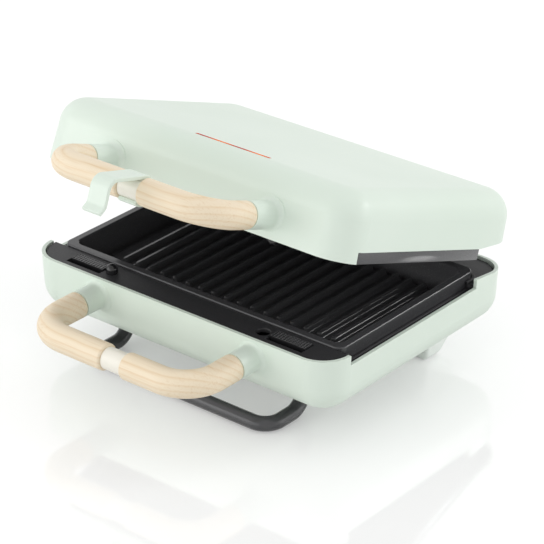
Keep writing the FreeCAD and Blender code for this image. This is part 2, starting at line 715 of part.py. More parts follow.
# Shared levels and outlines of a half
deck_level = -s.deck_drop
deck_under = deck_level - s.deck_sheet
opening_side = plate_width / 2 + s.plate_gap
opening_front = plate_front + s.plate_gap
opening_rear = plate_rear + s.plate_gap
skirt_side = opening_side + s.skirt_wall
skirt_front = opening_front + s.skirt_wall
skirt_rear = opening_rear + s.skirt_wall
skirt_low = deck_under - s.skirt_depth
tray_low = s.plate_proud - s.tray_depth - s.tray_floor
heater_level = tray_low - s.heater_gap - s.heater_diameter / 2
shield_level = heater_level - s.heater_diameter / 2 - s.heater_gap
slot_rear = opening_front + s.catch_ledge
pad_rear = slot_rear + s.catch_gap
pad_front = pad_rear + s.catch_length
slot_front = pad_front + s.catch_travel + s.catch_gap


def wall_at(draft, level):
    """How far a drafted wall has moved inwards at a level below the rim."""
    return tangent(draft) * level


def housing(label, height, edge_radius, draft, notch, drop, reach):
    """A moulded half housing: drafted walls, rounded edge, side notches and two handle sockets."""
    body = new_body(label)
    sketch = new_sketch(body, "XY_Plane")
    draw_rounded(sketch, -half_width, half_width, -half_depth, half_depth, s.corner_radius)
    pad(body, sketch, height, reverse=True, taper=-draft)
    sketch = new_sketch(body, "XY_Plane")
    draw_rounded(sketch, s.wall - half_width, half_width - s.wall, s.wall - half_depth, half_depth - s.wall,
                 s.corner_radius - s.wall)
    hollow = pocket(body, sketch, height - s.wall, taper=-draft)
    lined = round_edges(body, level_edges(hollow, (s.wall - height).value), edge_radius - s.wall)
    round_edges(body, level_edges(lined, -height.value), edge_radius)
    sketch = new_sketch(body, "YZ_Plane")
    draw_polygon(sketch, notch)
    pocket(body, sketch, s.base_width * 2, symmetric=True)
    add_sockets(body, draft, drop, reach)
    return body


def add_sockets(body, draft, drop, reach):
    """Adds the flared tubes that carry a handle, with bores for its inner bar."""
    tube = s.grip_diameter / 2
    face = wall_at(draft, drop) - half_depth
    root = face + s.wall / 2
    flare_front = face - s.socket_flare
    end = -half_depth - reach
    sketch = new_sketch(body, "XY_Plane", -drop)
    wide = handle_spread + tube + s.socket_flare
    narrow = handle_spread + tube
    axis_ends = (place_of((handle_spread, end)), place_of((handle_spread, root)))
    axis = sketch.addGeometry(Part.LineSegment(*axis_ends), True)
    points = [(handle_spread, root), (wide, root), (wide, face)]
    tail = [(narrow, flare_front), (narrow, end), (handle_spread, end)]
    circle = Part.Circle(place_of((wide, flare_front)), Vector(0, 0, 1), s.socket_flare.value)
    arc = sketch.addGeometry(Part.ArcOfCircle(circle, math.pi / 2, math.pi))
    lines = []
    for start, stop in list(zip(points, points[1:])) + list(zip(tail, tail[1:])) + [(tail[-1], points[0])]:
        lines.append(sketch.addGeometry(Part.LineSegment(place_of(start), place_of(stop))))
    for first, second in ((0, 1), (2, 3), (3, 4), (4, 0)):
        sketch.addConstraint(Sketcher.Constraint("Coincident", lines[first], 2, lines[second], 1))
    sketch.addConstraint(Sketcher.Constraint("Coincident", lines[1], 2, arc, 1))
    sketch.addConstraint(Sketcher.Constraint("Coincident", arc, 2, lines[2], 1))
    for line, place in zip((lines[0], lines[1], lines[2], lines[3], lines[4]),
                           (points[0], points[1], tail[0], tail[1], tail[2])):
        fix_point(sketch, line, 1, *place)
    fix_point(sketch, arc, 1, wide, face)
    fix_radius(sketch, arc, s.socket_flare)
    fix_point(sketch, axis, 1, handle_spread, end)
    fix_point(sketch, axis, 2, handle_spread, root)
    turned = body.newObject("PartDesign::Revolution", "Revolution")
    turned.Profile = sketch
    turned.ReferenceAxis = (sketch, ["Axis0"])
    bind(turned, "Angle", 360)
    mirrored(body, [settle(body, turned)])
    sketch = new_sketch(body, "XZ_Plane", -end + s.wall)
    for side in (1, -1):
        draw_circle(sketch, handle_spread * side, -drop, s.core_diameter / 2 + s.core_play)
    pocket(body, sketch, reach + s.wall * 5)


def add_bosses(body, height, places, top, depth):
    """Adds round screw bosses that stand on the housing floor, bored from their top."""
    floor = s.wall - height
    sketch = new_sketch(body, "XY_Plane", floor - s.seat_gap)
    for x, y in places:
        draw_circle(sketch, x, y, s.boss_diameter / 2)
    pad(body, sketch, as_dim(top) - floor + s.seat_gap)
    sketch = new_sketch(body, "XY_Plane", top)
    for x, y in places:
        draw_circle(sketch, x, y, s.boss_bore / 2)
    pocket(body, sketch, depth)


def corners(side, near, far):
    """The four points of a rectangle about the centre line."""
    return [(side * a, y) for a in (1, -1) for y in (near, far)]


deck_bosses = [(boss_side * a, -boss_front) for a in (1, -1)]
shield_bosses = corners(shield_boss_side, -shield_boss_front, shield_boss_front)


def cut_hinge_notches(body):
    """Cuts room for both hinge barrels and their pins out of the rear wall of the base."""
    half = s.arm_width / 2 + s.ear_gap + s.ear_width + s.pin_end + s.hinge_clear
    front = hinge_back - s.hinge_barrel / 2 - s.hinge_clear
    sketch = new_sketch(body, "XY_Plane", s.wall)
    for side in (1, -1):
        left = hinge_spread * side - half
        draw_rectangle(sketch, left, left + half * 2, front, half_depth + s.wall)
    pocket(body, sketch, s.wall + s.hinge_notch)


def base_shell():
    above = s.wall
    slope_end = half_depth + s.wall
    notch = [(-notch_front, above), (-notch_front, -s.notch_depth), (notch_rear, -s.notch_depth),
             (notch_rear, 0), (slope_end, -s.rear_fall), (slope_end, above)]
    body = housing("base_shell", s.base_height, s.base_edge_radius, s.wall_draft, notch, s.handle_drop,
                   s.socket_length)
    underside = s.base_height + s.wall
    add_bosses(body, s.base_height, deck_bosses, -s.boss_split, underside - s.boss_split)
    add_bosses(body, s.base_height, shield_bosses, shield_level - s.shield_sheet, s.shield_screw_length)
    sketch = new_sketch(body, "XY_Plane", -underside)
    for x, y in deck_bosses:
        draw_circle(sketch, x, y, s.boss_pocket / 2)
    pocket(body, sketch, s.wall + s.pocket_depth, reverse=True)
    cut_hinge_notches(body)
    sketch = new_sketch(body, "XY_Plane", -underside)
    first = s.vent_pitch * (s.vent_count - 1) / 2
    draw_slot(sketch, -first, -s.vent_length / 2, s.vent_length / 2, s.vent_width)
    slot = pocket(body, sketch, s.wall * 3, reverse=True)
    pattern(body, [slot], "X_Axis", s.vent_count, s.vent_pitch)
    sketch = new_sketch(body, "XZ_Plane", -half_depth - s.wall)
    draw_circle(sketch, 0, -s.gland_drop, s.gland_body / 2 + s.screw_play)
    pocket(body, sketch, s.wall * 6, reverse=True)
    sketch = new_sketch(body, "XY_Plane", -underside)
    for side in (1, -1):
        draw_circle(sketch, stand_spread * side, -stand_rear, s.stand_diameter / 2 + s.screw_play)
    pocket(body, sketch, s.wall * 3, reverse=True)
    finish(body, "base_shell", "base")


def lid_shell():
    above = s.wall
    slope_end = half_depth + s.wall
    notch = [(-lid_notch_front, above), (-lid_notch_front, -s.lid_notch_depth),
             (lid_notch_rear, -s.lid_notch_depth), (slope_end, -s.lid_rear_lift), (slope_end, above)]
    body = housing("lid_shell", s.lid_height, s.lid_edge_radius, s.lid_draft, notch, s.upper_handle_drop,
                   s.upper_socket_length)
    add_bosses(body, s.lid_height, deck_bosses, deck_under, s.lid_screw_length)
    add_bosses(body, s.lid_height, shield_bosses, shield_level - s.shield_sheet, s.shield_screw_length)
    sketch = new_sketch(body, "XY_Plane", -s.lid_height - s.wall)
    left = -s.stripe_side - s.stripe_length / 2 - s.screw_play
    right = s.stripe_length / 2 - s.stripe_side + s.screw_play
    front = -stripe_front - s.stripe_width / 2 - s.screw_play
    draw_rectangle(sketch, left, right, front, front + s.stripe_width + s.screw_play * 2)
    pocket(body, sketch, s.wall + s.stripe_depth, reverse=True)
    finish(body, "lid_shell", "lid")


def deck(label, rear_drop, place):
    """The black frame round a plate: front and rear strips, skirt, catch slots and guide hole."""
    body = new_body(label)
    side = half_width - s.wall - s.deck_gap
    depth = half_depth - s.wall - s.deck_gap
    radius = s.corner_radius - s.wall - s.deck_gap
    sketch = new_sketch(body, "XY_Plane", deck_level)
    draw_strip(sketch, side, -opening_front, -depth, radius)
    pad(body, sketch, s.deck_sheet, reverse=True)
    sketch = new_sketch(body, "XY_Plane", deck_under)
    draw_rounded(sketch, -skirt_side, skirt_side, -skirt_front, skirt_rear, s.plate_corner + s.skirt_wall)
    draw_rounded(sketch, -opening_side, opening_side, -opening_front, opening_rear, s.plate_corner)
    pad(body, sketch, s.skirt_depth, reverse=True)
    rear_inset = wall_at(s.wall_draft, as_dim(rear_drop) + s.deck_sheet)
    sketch = new_sketch(body, "XY_Plane", -as_dim(rear_drop))
    draw_strip(sketch, side - rear_inset, notch_rear, depth - rear_inset, radius - rear_inset)
    pad(body, sketch, s.deck_sheet, reverse=True)
    sketch = new_sketch(body, "XY_Plane", deck_level + s.deck_sheet)
    draw_rounded(sketch, -opening_side, opening_side, -opening_front, opening_rear, s.plate_corner)
    pocket(body, sketch, s.deck_sheet * 2 + s.skirt_depth * 2)
    sketch = new_sketch(body, "YZ_Plane")
    draw_rectangle(sketch, -opening_front + s.plate_corner, notch_rear, -s.side_rail_drop, s.wall)
    pocket(body, sketch, s.base_width * 2, symmetric=True)
    cut_catch_slots(body, place)
    if place == "base":
        add_stubs(body)
    finish(body, label, place)


def add_stubs(body):
    """Adds the bored stubs under the base deck that take the screws from below."""
    sketch = new_sketch(body, "XY_Plane", deck_under)
    for x, y in deck_bosses:
        draw_circle(sketch, x, y, s.boss_diameter / 2)
        draw_circle(sketch, x, y, s.boss_bore / 2)
    pad(body, sketch, deck_under + s.boss_split - s.seat_gap, reverse=True)


def cut_catch_slots(body, place):
    """Cuts the slots for both catches, the guide hole, the post's stem hole and the tab windows."""
    half = s.catch_width / 2 + s.catch_gap
    sketch = new_sketch(body, "XY_Plane", deck_level + s.wall)
    for side in (1, -1):
        left = catch_spread * side - half
        draw_rectangle(sketch, left, left + half * 2, -slot_front, -slot_rear)
    draw_circle(sketch, post_spread, -post_front, s.post_diameter / 2 + s.post_play)
    draw_circle(sketch, -post_spread, -post_front, s.post_stem / 2 + s.screw_play)
    if place == "lid":
        for x, y in deck_bosses:
            draw_circle(sketch, x, y, s.boss_bore / 2)
    pocket(body, sketch, s.wall + s.deck_sheet * 1.5)
    low = -s.tab_drop - s.nose_thickness - s.catch_gap
    high = s.catch_gap - s.tab_drop
    sketch = new_sketch(body, "XZ_Plane", skirt_front + s.wall)
    for side in (1, -1):
        left = catch_spread * side - s.nose_width / 2 - s.catch_gap
        draw_rectangle(sketch, left, left + s.nose_width + s.catch_gap * 2, low, high)
    pocket(body, sketch, s.skirt_wall + s.wall * 2)
    sketch = new_sketch(body, "XZ_Plane", -skirt_rear - s.wall)
    for side in (1, -1):
        left = tab_spread * side - s.tab_width / 2 - s.plate_gap
        draw_rectangle(sketch, left, left + s.tab_width + s.plate_gap * 2,
                       -s.tab_drop - s.tab_thickness - s.plate_gap, s.plate_gap - s.tab_drop)
    pocket(body, sketch, s.skirt_wall + s.wall * 2, reverse=True)


def plate(label, place):
    """A cast plate: flat rim, sloped tray, grease channel, ribbed bed, rear tabs and catch recesses."""
    body = new_body(label)
    side = plate_width / 2
    sketch = new_sketch(body, "XY_Plane", s.plate_proud)
    draw_rounded(sketch, -side, side, -plate_front, plate_rear, s.plate_corner)
    pad(body, sketch, s.plate_wall_height, reverse=True)
    tray_side = side - s.plate_rim
    tray_front = plate_front - s.plate_rim
    tray_rear = plate_rear - s.plate_rim
    fall = s.tray_depth + s.tray_floor - s.plate_wall_height
    sketch = new_sketch(body, "XY_Plane", s.plate_proud - s.plate_wall_height)
    draw_rounded(sketch, -tray_side, tray_side, -tray_front, tray_rear, s.plate_corner)
    pad(body, sketch, fall, reverse=True, taper=-s.tray_slope / 2)
    sketch = new_sketch(body, "XY_Plane", s.plate_proud)
    draw_rounded(sketch, -tray_side, tray_side, -tray_front, tray_rear, s.plate_corner)
    pocket(body, sketch, s.tray_depth, taper=-s.tray_slope)
    inset = tangent(s.tray_slope) * s.tray_depth + s.channel_width
    floor = s.plate_proud - s.tray_depth
    sketch = new_sketch(body, "XY_Plane", floor - s.tray_floor / 2)
    draw_rounded(sketch, inset - tray_side, tray_side - inset, inset - tray_front, tray_rear - inset,
                 s.plate_rim / 2)
    pad(body, sketch, s.tray_floor / 2 + s.bed_height)
    first = s.rib_pitch * (rib_count - 1) / 2
    sketch = new_sketch(body, "XY_Plane", floor + s.bed_height)
    draw_slot(sketch, -first, -rib_front, rib_rear, s.rib_width)
    rib = pad(body, sketch, s.rib_height, taper=-s.rib_slope)
    pattern(body, [rib], "X_Axis", rib_count, s.rib_pitch)
    sketch = new_sketch(body, "XZ_Plane", -plate_rear + s.plate_rim / 2)
    for turn in (1, -1):
        left = tab_spread * turn - s.tab_width / 2
        draw_rectangle(sketch, left, left + s.tab_width, -s.tab_drop - s.tab_thickness, -s.tab_drop)
    pad(body, sketch, s.tab_reach + s.plate_rim / 2, reverse=True)
    sketch = new_sketch(body, "XZ_Plane", plate_front + s.wall)
    for turn in (1, -1):
        left = catch_spread * turn - s.nose_width / 2 - s.catch_gap * 2
        draw_rectangle(sketch, left, left + s.nose_width + s.catch_gap * 4,
                       -s.tab_drop - s.nose_thickness - s.catch_gap * 2, s.catch_gap * 2 - s.tab_drop)
    pocket(body, sketch, s.wall + s.catch_nose + s.catch_gap)
    finish(body, label, place)


def catch(label, side, place):
    """A sliding plate catch: ribbed thumb pad, flange under the deck, nose and spring foot."""
    body = new_body(label)
    centre = catch_spread * side
    half = s.catch_width / 2
    top = deck_level + s.catch_proud
    flange_top = deck_under - s.catch_gap
    flange_low = flange_top - s.catch_flange
    sketch = new_sketch(body, "XY_Plane", flange_low)
    draw_rectangle(sketch, centre - half, centre + half, -pad_front, -pad_rear)
    pad(body, sketch, top - flange_low)
    sketch = new_sketch(body, "XY_Plane", flange_low)
    wide = half + s.catch_flange
    draw_rectangle(sketch, centre - wide, centre + wide, -pad_front, -pad_rear)
    pad(body, sketch, s.catch_flange)
    nose_low = -s.tab_drop - s.nose_thickness
    sketch = new_sketch(body, "XY_Plane", nose_low)
    draw_rectangle(sketch, centre - s.nose_width / 2, centre + s.nose_width / 2,
                   -pad_front + s.catch_flange, s.catch_nose - plate_front)
    pad(body, sketch, s.nose_thickness)
    sketch = new_sketch(body, "XY_Plane", flange_low - s.catch_foot)
    draw_rectangle(sketch, centre - s.spring_diameter, centre + s.spring_diameter,
                   -pad_rear - s.catch_flange, -pad_rear)
    pad(body, sketch, s.catch_foot)
    finish(body, label, place)


def spring_level():
    return deck_under - s.catch_gap - s.catch_flange - s.catch_foot + s.spring_diameter / 2 + s.catch_gap


def catch_spring(label, side, place, draft):
    """A small compression spring between the foot of a catch and the housing wall."""
    level = spring_level()
    rear = -pad_rear - s.catch_flange - s.catch_gap
    front = wall_at(draft, -level + s.spring_diameter) - half_depth + s.wall + s.catch_gap
    length = rear.value - front.value
    wire = s.spring_wire.value
    radius = (s.spring_diameter.value - wire) / 2
    height = length - wire
    helix = Part.makeHelix(height / s.spring_turns.value, height, radius)
    circle = Part.Circle(Vector(radius, 0, 0), Vector(0, 1, 0), wire / 2)
    coil = Part.Wire(helix.Edges).makePipeShell([Part.Wire(circle.toShape())], True, True)
    coil.rotate(Vector(), Vector(1, 0, 0), -90)
    coil.translate(point(catch_spread * side, front, level) + Vector(0, wire / 2, 0))
    part_of(label, Part.makeCompound([coil]), place)


def guide_post(label, place):
    """The round-headed post that lines the two halves up, with its stem through the deck."""
    head = s.post_diameter / 2
    dome_level = deck_level + s.post_height - head
    shaft = cylinder_up(-post_spread, -post_front, deck_level, dome_level, s.post_diameter)
    stem = cylinder_up(-post_spread, -post_front, deck_under - s.wall, deck_level, s.post_stem)
    dome = primitive("Sphere", Radius=head, _at_x=-post_spread, _at_y=-post_front, _at_z=dome_level)
    bind(dome, "Angle1", 0)
    finish(fuse([shaft, stem, dome]), label, place)


def heater(label, place):
    """A bent heating tube under a plate, with two cold ends at the rear."""
    inner = s.tail_spread + s.heater_step
    outline = [(s.tail_spread, heater_rear), (s.tail_spread, -s.heater_middle), (inner, -s.heater_middle),
               (inner, heater_front), (heater_span, heater_front), (heater_span, -heater_front)]
    right = [point(x, y, heater_level) for x, y in outline]
    left = [Vector(-spot.x, spot.y, spot.z) for spot in reversed(right)]
    part_of(label, round_bar(bent_path(right + left, s.heater_bend.value), s.heater_diameter.value), place)


def heat_shield(label, place):
    """A pressed sheet tray under the heater with turned-up edges, resting on its bosses."""
    side = shield_width / 2
    outer = box_between(-side, side, -shield_front, shield_rear, shield_level - s.shield_sheet,
                        shield_level + s.shield_wall)
    inner = box_between(s.shield_sheet - side, side - s.shield_sheet, s.shield_sheet - shield_front,
                        shield_rear - s.shield_sheet, shield_level, shield_level + s.shield_wall * 2)
    gates = [box_between(s.tail_spread * turn - s.heater_diameter, s.tail_spread * turn + s.heater_diameter,
                         shield_rear - s.shield_sheet * 2, shield_rear + s.shield_sheet, shield_level,
                         shield_level + s.shield_wall * 2) for turn in (1, -1)]
    holes = [cylinder_up(x, y, shield_level - s.shield_sheet * 2, shield_level + s.shield_sheet, s.boss_bore)
             for x, y in shield_bosses]
    finish(cut(outer, [inner] + gates + holes), label, place)


def handle_core(label, drop, neck_middle, place):
    """The inner bar of a handle with the bare neck near its middle."""
    root = s.core_root - half_depth
    right = [point(handle_spread, root, -drop), point(handle_spread, -handle_line, -drop)]
    left = [Vector(-spot.x, spot.y, spot.z) for spot in reversed(right)]
    bar = round_bar(bent_path(right + left, s.grip_bend.value), s.core_diameter.value)
    neck_start = point(neck_middle - s.neck_length / 2, -handle_line, -drop)
    neck = Part.makeCylinder(s.neck_diameter.value / 2, s.neck_length.value, neck_start, Vector(1, 0, 0))
    part_of(label, bar.fuse(neck).removeSplitter(), place)


def grip(label, side, drop, reach, neck_middle, place):
    """A bent wooden grip: a round elbow bored for the inner bar."""
    end = -half_depth - reach
    path = [point(handle_spread * side, end, -drop), point(handle_spread * side, -handle_line, -drop),
            point(neck_middle + s.neck_length / 2 * side, -handle_line, -drop)]
    wire = bent_path(path, s.grip_bend.value)
    bore = round_bar(wire, (s.core_diameter + s.core_play * 2).value)
    part_of(label, round_bar(wire, s.grip_diameter.value).cut(bore), place)


def latch():
    """The bent strip latch that turns on the upper neck and hooks over the lower one."""
    left = s.latch_side - s.latch_width / 2

    def at(place):
        return point(left, place[0] - handle_line, place[1] + neck_rise)

    def on_arc(centre, radius, angle):
        return at((centre[0] + radius * cosine(angle), centre[1] + radius * sine(angle)))

    origin = (as_dim(0), as_dim(0))
    back = -s.latch_curl
    mid_bend = s.latch_lead + s.latch_turn / 2
    mid_kick = front_turn - s.latch_kick / 2 + 180
    curl_end = on_arc(origin, latch_radius, back)
    curl_middle = on_arc(origin, latch_radius, as_dim(0))
    bend_middle = on_arc(route.bend_centre, s.latch_bend, mid_bend)
    kick_middle = on_arc(route.kick_centre, s.latch_kick_bend, mid_kick)
    edges = [Part.Arc(curl_end, curl_middle, at(route.strip_start)),
             Part.LineSegment(at(route.strip_start), at(route.strip_end)),
             Part.Arc(at(route.strip_end), bend_middle, at(route.hook_start)),
             Part.LineSegment(at(route.hook_start), at(route.hook_end)),
             Part.Arc(at(route.hook_end), kick_middle, at(route.lip_start)),
             Part.LineSegment(at(route.lip_start), at(route.lip_end))]
    middle = Part.Wire([edge.toShape() for edge in edges])
    across = Vector(s.latch_width.value, 0, 0)

    def section(start, heading):
        outward = heading.cross(Vector(1, 0, 0)).normalize() * (s.latch_strip.value / 2)
        ends = [start - outward, start + outward, start + outward + across, start - outward + across]
        return Part.Face(Part.makePolygon(ends + ends[:1]))

    part_of("latch", swept(middle, section), "lid_upright")


def front_stand():
    """The bent bar that carries the front: two posts, two runners and a cross bar."""
    floor_line = s.stand_diameter / 2 - s.rim_level
    top = s.wall - s.base_height + s.stand_plate_sheet
    right = [point(stand_spread, -stand_rear, top), point(stand_spread, -stand_rear, floor_line),
             point(stand_spread, -stand_front, floor_line)]
    left = [Vector(-spot.x, spot.y, spot.z) for spot in reversed(right)]
    path = bent_path(right + left, s.stand_bend.value)
    part_of("front_stand", round_bar(path, s.stand_diameter.value), "base")


def stand_plates():
    """The two clamp rings that hold the stand posts inside the base."""
    floor = s.wall - s.base_height
    rings = []
    for side in (1, -1):
        x = stand_spread * side
        ring = cylinder_up(x, -stand_rear, floor, floor + s.stand_plate_sheet, s.stand_plate)
        bore = cylinder_up(x, -stand_rear, floor - s.wall, floor + s.wall * 2,
                           s.stand_diameter + s.screw_play * 2)
        rings.append(cut(ring, [bore]))
    group(rings, "stand_plates", "base")


def rear_foot(label, side):
    """A moulded rear foot with a sloped heel and a socket for its rubber pad."""
    body = new_body(label)
    low = s.pad_height - s.pad_sink - s.rim_level
    rear = foot_front + s.foot_length
    sketch = new_sketch(body, "YZ_Plane", foot_spread * side)
    draw_polygon(sketch, [(foot_front, low), (rear - s.foot_heel, low), (rear, low + s.foot_heel_rise),
                          (rear, -s.base_height), (foot_front, -s.base_height)])
    block = pad(body, sketch, s.foot_width, symmetric=True)
    names = pick_edges(block, lambda box: box.XLength < 1e-4 and box.ZMin < -s.base_height.value - 1e-3)
    round_edges(body, names, s.foot_round)
    sketch = new_sketch(body, "XY_Plane", low - s.wall)
    draw_circle(sketch, foot_spread * side, foot_front + s.pad_inset, s.pad_diameter / 2 + s.screw_play)
    pocket(body, sketch, s.wall + s.pad_sink, reverse=True)
    finish(body, label, "base")


def foot_pads():
    low = -s.rim_level
    middle = foot_front + s.pad_inset
    pads = [cylinder_up(foot_spread * side, middle, low, low + s.pad_height, s.pad_diameter)
            for side in (1, -1)]
    group(pads, "foot_pads", "base")


def hinge_arm(label, side):
    """A hinge arm screwed to the rear wall of the base, with its barrel in the notch of the wall."""
    body = new_body(label)
    face = half_depth + s.seat_gap
    foot = face - wall_at(s.wall_draft, s.arm_low)
    step = s.hinge_clear - s.hinge_notch
    sketch = new_sketch(body, "YZ_Plane", hinge_spread * side)
    draw_polygon(sketch, [(hinge_back, s.hinge_rise), (hinge_back, step), (face, step),
                          (foot, -s.arm_low), (foot + s.arm_depth, -s.arm_low), (face + s.arm_depth, step),
                          (hinge_back + s.hinge_barrel / 2, s.hinge_rise)])
    pad(body, sketch, s.arm_width, symmetric=True)
    sketch = new_sketch(body, "YZ_Plane", hinge_spread * side)
    draw_circle(sketch, hinge_back, s.hinge_rise, s.hinge_barrel / 2)
    pad(body, sketch, s.arm_width, symmetric=True)
    sketch = new_sketch(body, "YZ_Plane", hinge_spread * side)
    draw_circle(sketch, hinge_back, s.hinge_rise, s.hinge_pin / 2 + s.hinge_play)
    pocket(body, sketch, s.arm_width * 2, symmetric=True)
    finish(body, label, "base")


def hinge_ears(label, side):
    """A lid hinge bracket: a flange under the lid's rear deck and two ears beside the base arm."""
    body = new_body(label)
    barrel = s.hinge_barrel / 2
    inner = s.arm_width / 2 + s.ear_gap
    outer = inner + s.ear_width
    high = s.lid_gap + s.lid_rear_deck_drop
    low = high - s.ear_flange
    sketch = new_sketch(body, "YZ_Plane", hinge_spread * side)
    draw_rectangle(sketch, hinge_back - s.ear_seat, hinge_back + barrel, low, high)
    pad(body, sketch, outer * 2, symmetric=True)
    for turn in (1, -1):
        middle = hinge_spread * side + (inner + s.ear_width / 2) * turn
        sketch = new_sketch(body, "YZ_Plane", middle)
        draw_rectangle(sketch, hinge_back - barrel, hinge_back + barrel, s.hinge_rise, high)
        pad(body, sketch, s.ear_width, symmetric=True)
        sketch = new_sketch(body, "YZ_Plane", middle)
        draw_circle(sketch, hinge_back, s.hinge_rise, barrel)
        pad(body, sketch, s.ear_width, symmetric=True)
    sketch = new_sketch(body, "YZ_Plane", hinge_spread * side)
    draw_circle(sketch, hinge_back, s.hinge_rise, s.hinge_pin / 2 + s.hinge_play)
    pocket(body, sketch, outer * 3, symmetric=True)
    finish(body, label, "lid_upright")


def hinge_pins():
    """Two headed steel pins, fixed in the ears and turning in the arms."""
    reach = s.arm_width / 2 + s.ear_gap + s.ear_width
    pins = []
    for side in (1, -1):
        left = hinge_spread * side - reach
        right = hinge_spread * side + reach + s.pin_end
        shank = cylinder_across(left, right, hinge_back, s.hinge_rise, s.hinge_pin)
        head = cylinder_across(left - s.pin_end, left, hinge_back, s.hinge_rise, s.pin_head)
        pins.append(fuse([shank, head]))
    group(pins, "hinge_pins", "lid_upright")


def cord_gland():
    """The moulded bush in the rear wall where the supply cord enters."""
    wall_face = half_depth - wall_at(s.wall_draft, s.gland_drop)
    inside = wall_face - s.gland_inside
    rear = wall_face + s.gland_reach
    seat = half_depth - wall_at(s.wall_draft, s.gland_drop - s.gland_collar / 2) + s.seat_gap
    body = cylinder_back(0, inside, rear, -s.gland_drop, s.gland_body)
    collar = cylinder_back(0, seat, seat + s.wall, -s.gland_drop, s.gland_collar)
    bore = cylinder_back(0, inside - s.wall, rear + s.wall, -s.gland_drop, s.gland_bore)
    finish(cut(fuse([body, collar]), [bore]), "cord_gland", "base")


def terminal_block():
    floor = s.wall - s.base_height
    left = s.block_side - s.block_length / 2
    front = block_back - s.block_width / 2
    rear = front + s.block_width
    body = box_between(left, left + s.block_length, front, rear, floor, floor + s.block_height)
    bores = [cylinder_back(s.block_side + s.block_length / 3 * turn, front - s.wall, rear + s.wall,
                           floor + s.block_height / 2, s.fuse_diameter) for turn in (-1, 0, 1)]
    finish(cut(body, bores), "terminal_block", "base")


def thermostat():
    """A disc thermostat on a post under the rear deck of the base."""
    floor = s.wall - s.base_height
    seat = floor + s.wall
    can = cylinder_up(-s.thermostat_side, thermostat_back, seat, seat + s.thermostat_height,
                      s.thermostat_diameter)
    flange = box_between(-s.thermostat_side - s.thermostat_diameter,
                         s.thermostat_diameter - s.thermostat_side,
                         thermostat_back - s.wall * 2, thermostat_back + s.wall * 2, floor, seat)
    finish(fuse([can, flange]), "thermostat", "base")


def thermal_fuse():
    floor = s.wall - s.base_height
    level = floor + s.fuse_diameter / 2
    can = cylinder_across(-s.fuse_length * 2, -s.fuse_length, block_back, level, s.fuse_diameter)
    group([can], "thermal_fuse", "base")


def screws(label, places, seat, length, direction, place):
    """A group of like pan-head screws: heads seated at one level, shanks up (1) or down (-1)."""
    made = []
    for x, y in places:
        shank = sorted((as_dim(seat), seat + length * direction), key=lambda size: size.value)
        head = sorted((as_dim(seat), seat - s.screw_head_height * direction), key=lambda size: size.value)
        made.append(fuse([cylinder_up(x, y, *shank, s.screw_shank), cylinder_up(x, y, *head, s.screw_head)]))
    group(made, label, place)


def accent_stripe():
    """The thin coloured strip let into the top of the lid."""
    top = -s.lid_height - s.stripe_proud
    left = -s.stripe_side - s.stripe_length / 2
    front = -stripe_front - s.stripe_width / 2
    strip = box_between(left, left + s.stripe_length, front, front + s.stripe_width, top,
                        s.stripe_depth - s.lid_height)
    group([strip], "accent_stripe", "lid")


base_shell()
lid_shell()
deck("base_deck", s.rear_deck_drop, "base")
deck("lid_deck", s.lid_rear_deck_drop, "lid")
for half, level_name in (("base", "lower"), ("lid", "upper")):
    draft = s.wall_draft if half == "base" else s.lid_draft
    drop = s.handle_drop if half == "base" else s.upper_handle_drop
    reach = s.socket_length if half == "base" else s.upper_socket_length
    neck_middle = s.neck_side if half == "base" else -s.neck_side
    plate(f"{level_name}_plate", half)
    heater(f"{level_name}_heater", half)
    heat_shield(f"{level_name}_heat_shield", half)
    guide_post(f"{half}_guide_post", half)
    handle_core(f"{level_name}_handle_core", drop, neck_middle, half)
    for side, side_name in ((1, "right"), (-1, "left")):
        shown = side if half == "base" else -side
        catch(f"{half}_catch_{side_name}", shown, half)
        catch_spring(f"{half}_catch_spring_{side_name}", shown, half, draft)
        grip(f"{level_name}_grip_{side_name}", shown, drop, reach, neck_middle, half)
    screws(f"{half}_shield_screws", shield_bosses, shield_level, s.shield_screw_length, -1, half)
screws("base_deck_screws", deck_bosses, s.pocket_depth - s.base_height, s.screw_length, 1, "base")
screws("lid_deck_screws", deck_bosses, deck_level, s.lid_screw_length, -1, "lid")
latch()
front_stand()
stand_plates()
for side, side_name in ((1, "right"), (-1, "left")):
    rear_foot(f"rear_foot_{side_name}", side)
    hinge_arm(f"hinge_arm_{side_name}", side)
    hinge_ears(f"hinge_ears_{side_name}", side)
foot_pads()
hinge_pins()
cord_gland()
terminal_block()
thermostat()
thermal_fuse()
accent_stripe()

doc.recompute()
for item in doc.Objects:
    if "Invalid" in item.State or "Error" in item.State:
        raise RuntimeError(f"{item.Label} failed: {item.State}")
for item in finished:
    if item.Shape.isNull() or not item.Shape.isValid() or not item.Shape.Solids:
        raise RuntimeError(f"{item.Label} has no valid solid")

os.makedirs("parts", exist_ok=True)
for item in finished:
    item.Shape.exportStep(f"parts/{item.Label}.step")
    box = item.Shape.BoundBox
    print(f"{item.Label}: {len(item.Shape.Solids)} solids, {item.Shape.Volume / 1000:.1f} cm3,"
          f" z {box.ZMin:.1f} to {box.ZMax:.1f}")
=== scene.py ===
import json
import math

import bmesh
import bpy
from mathutils import Matrix, Vector

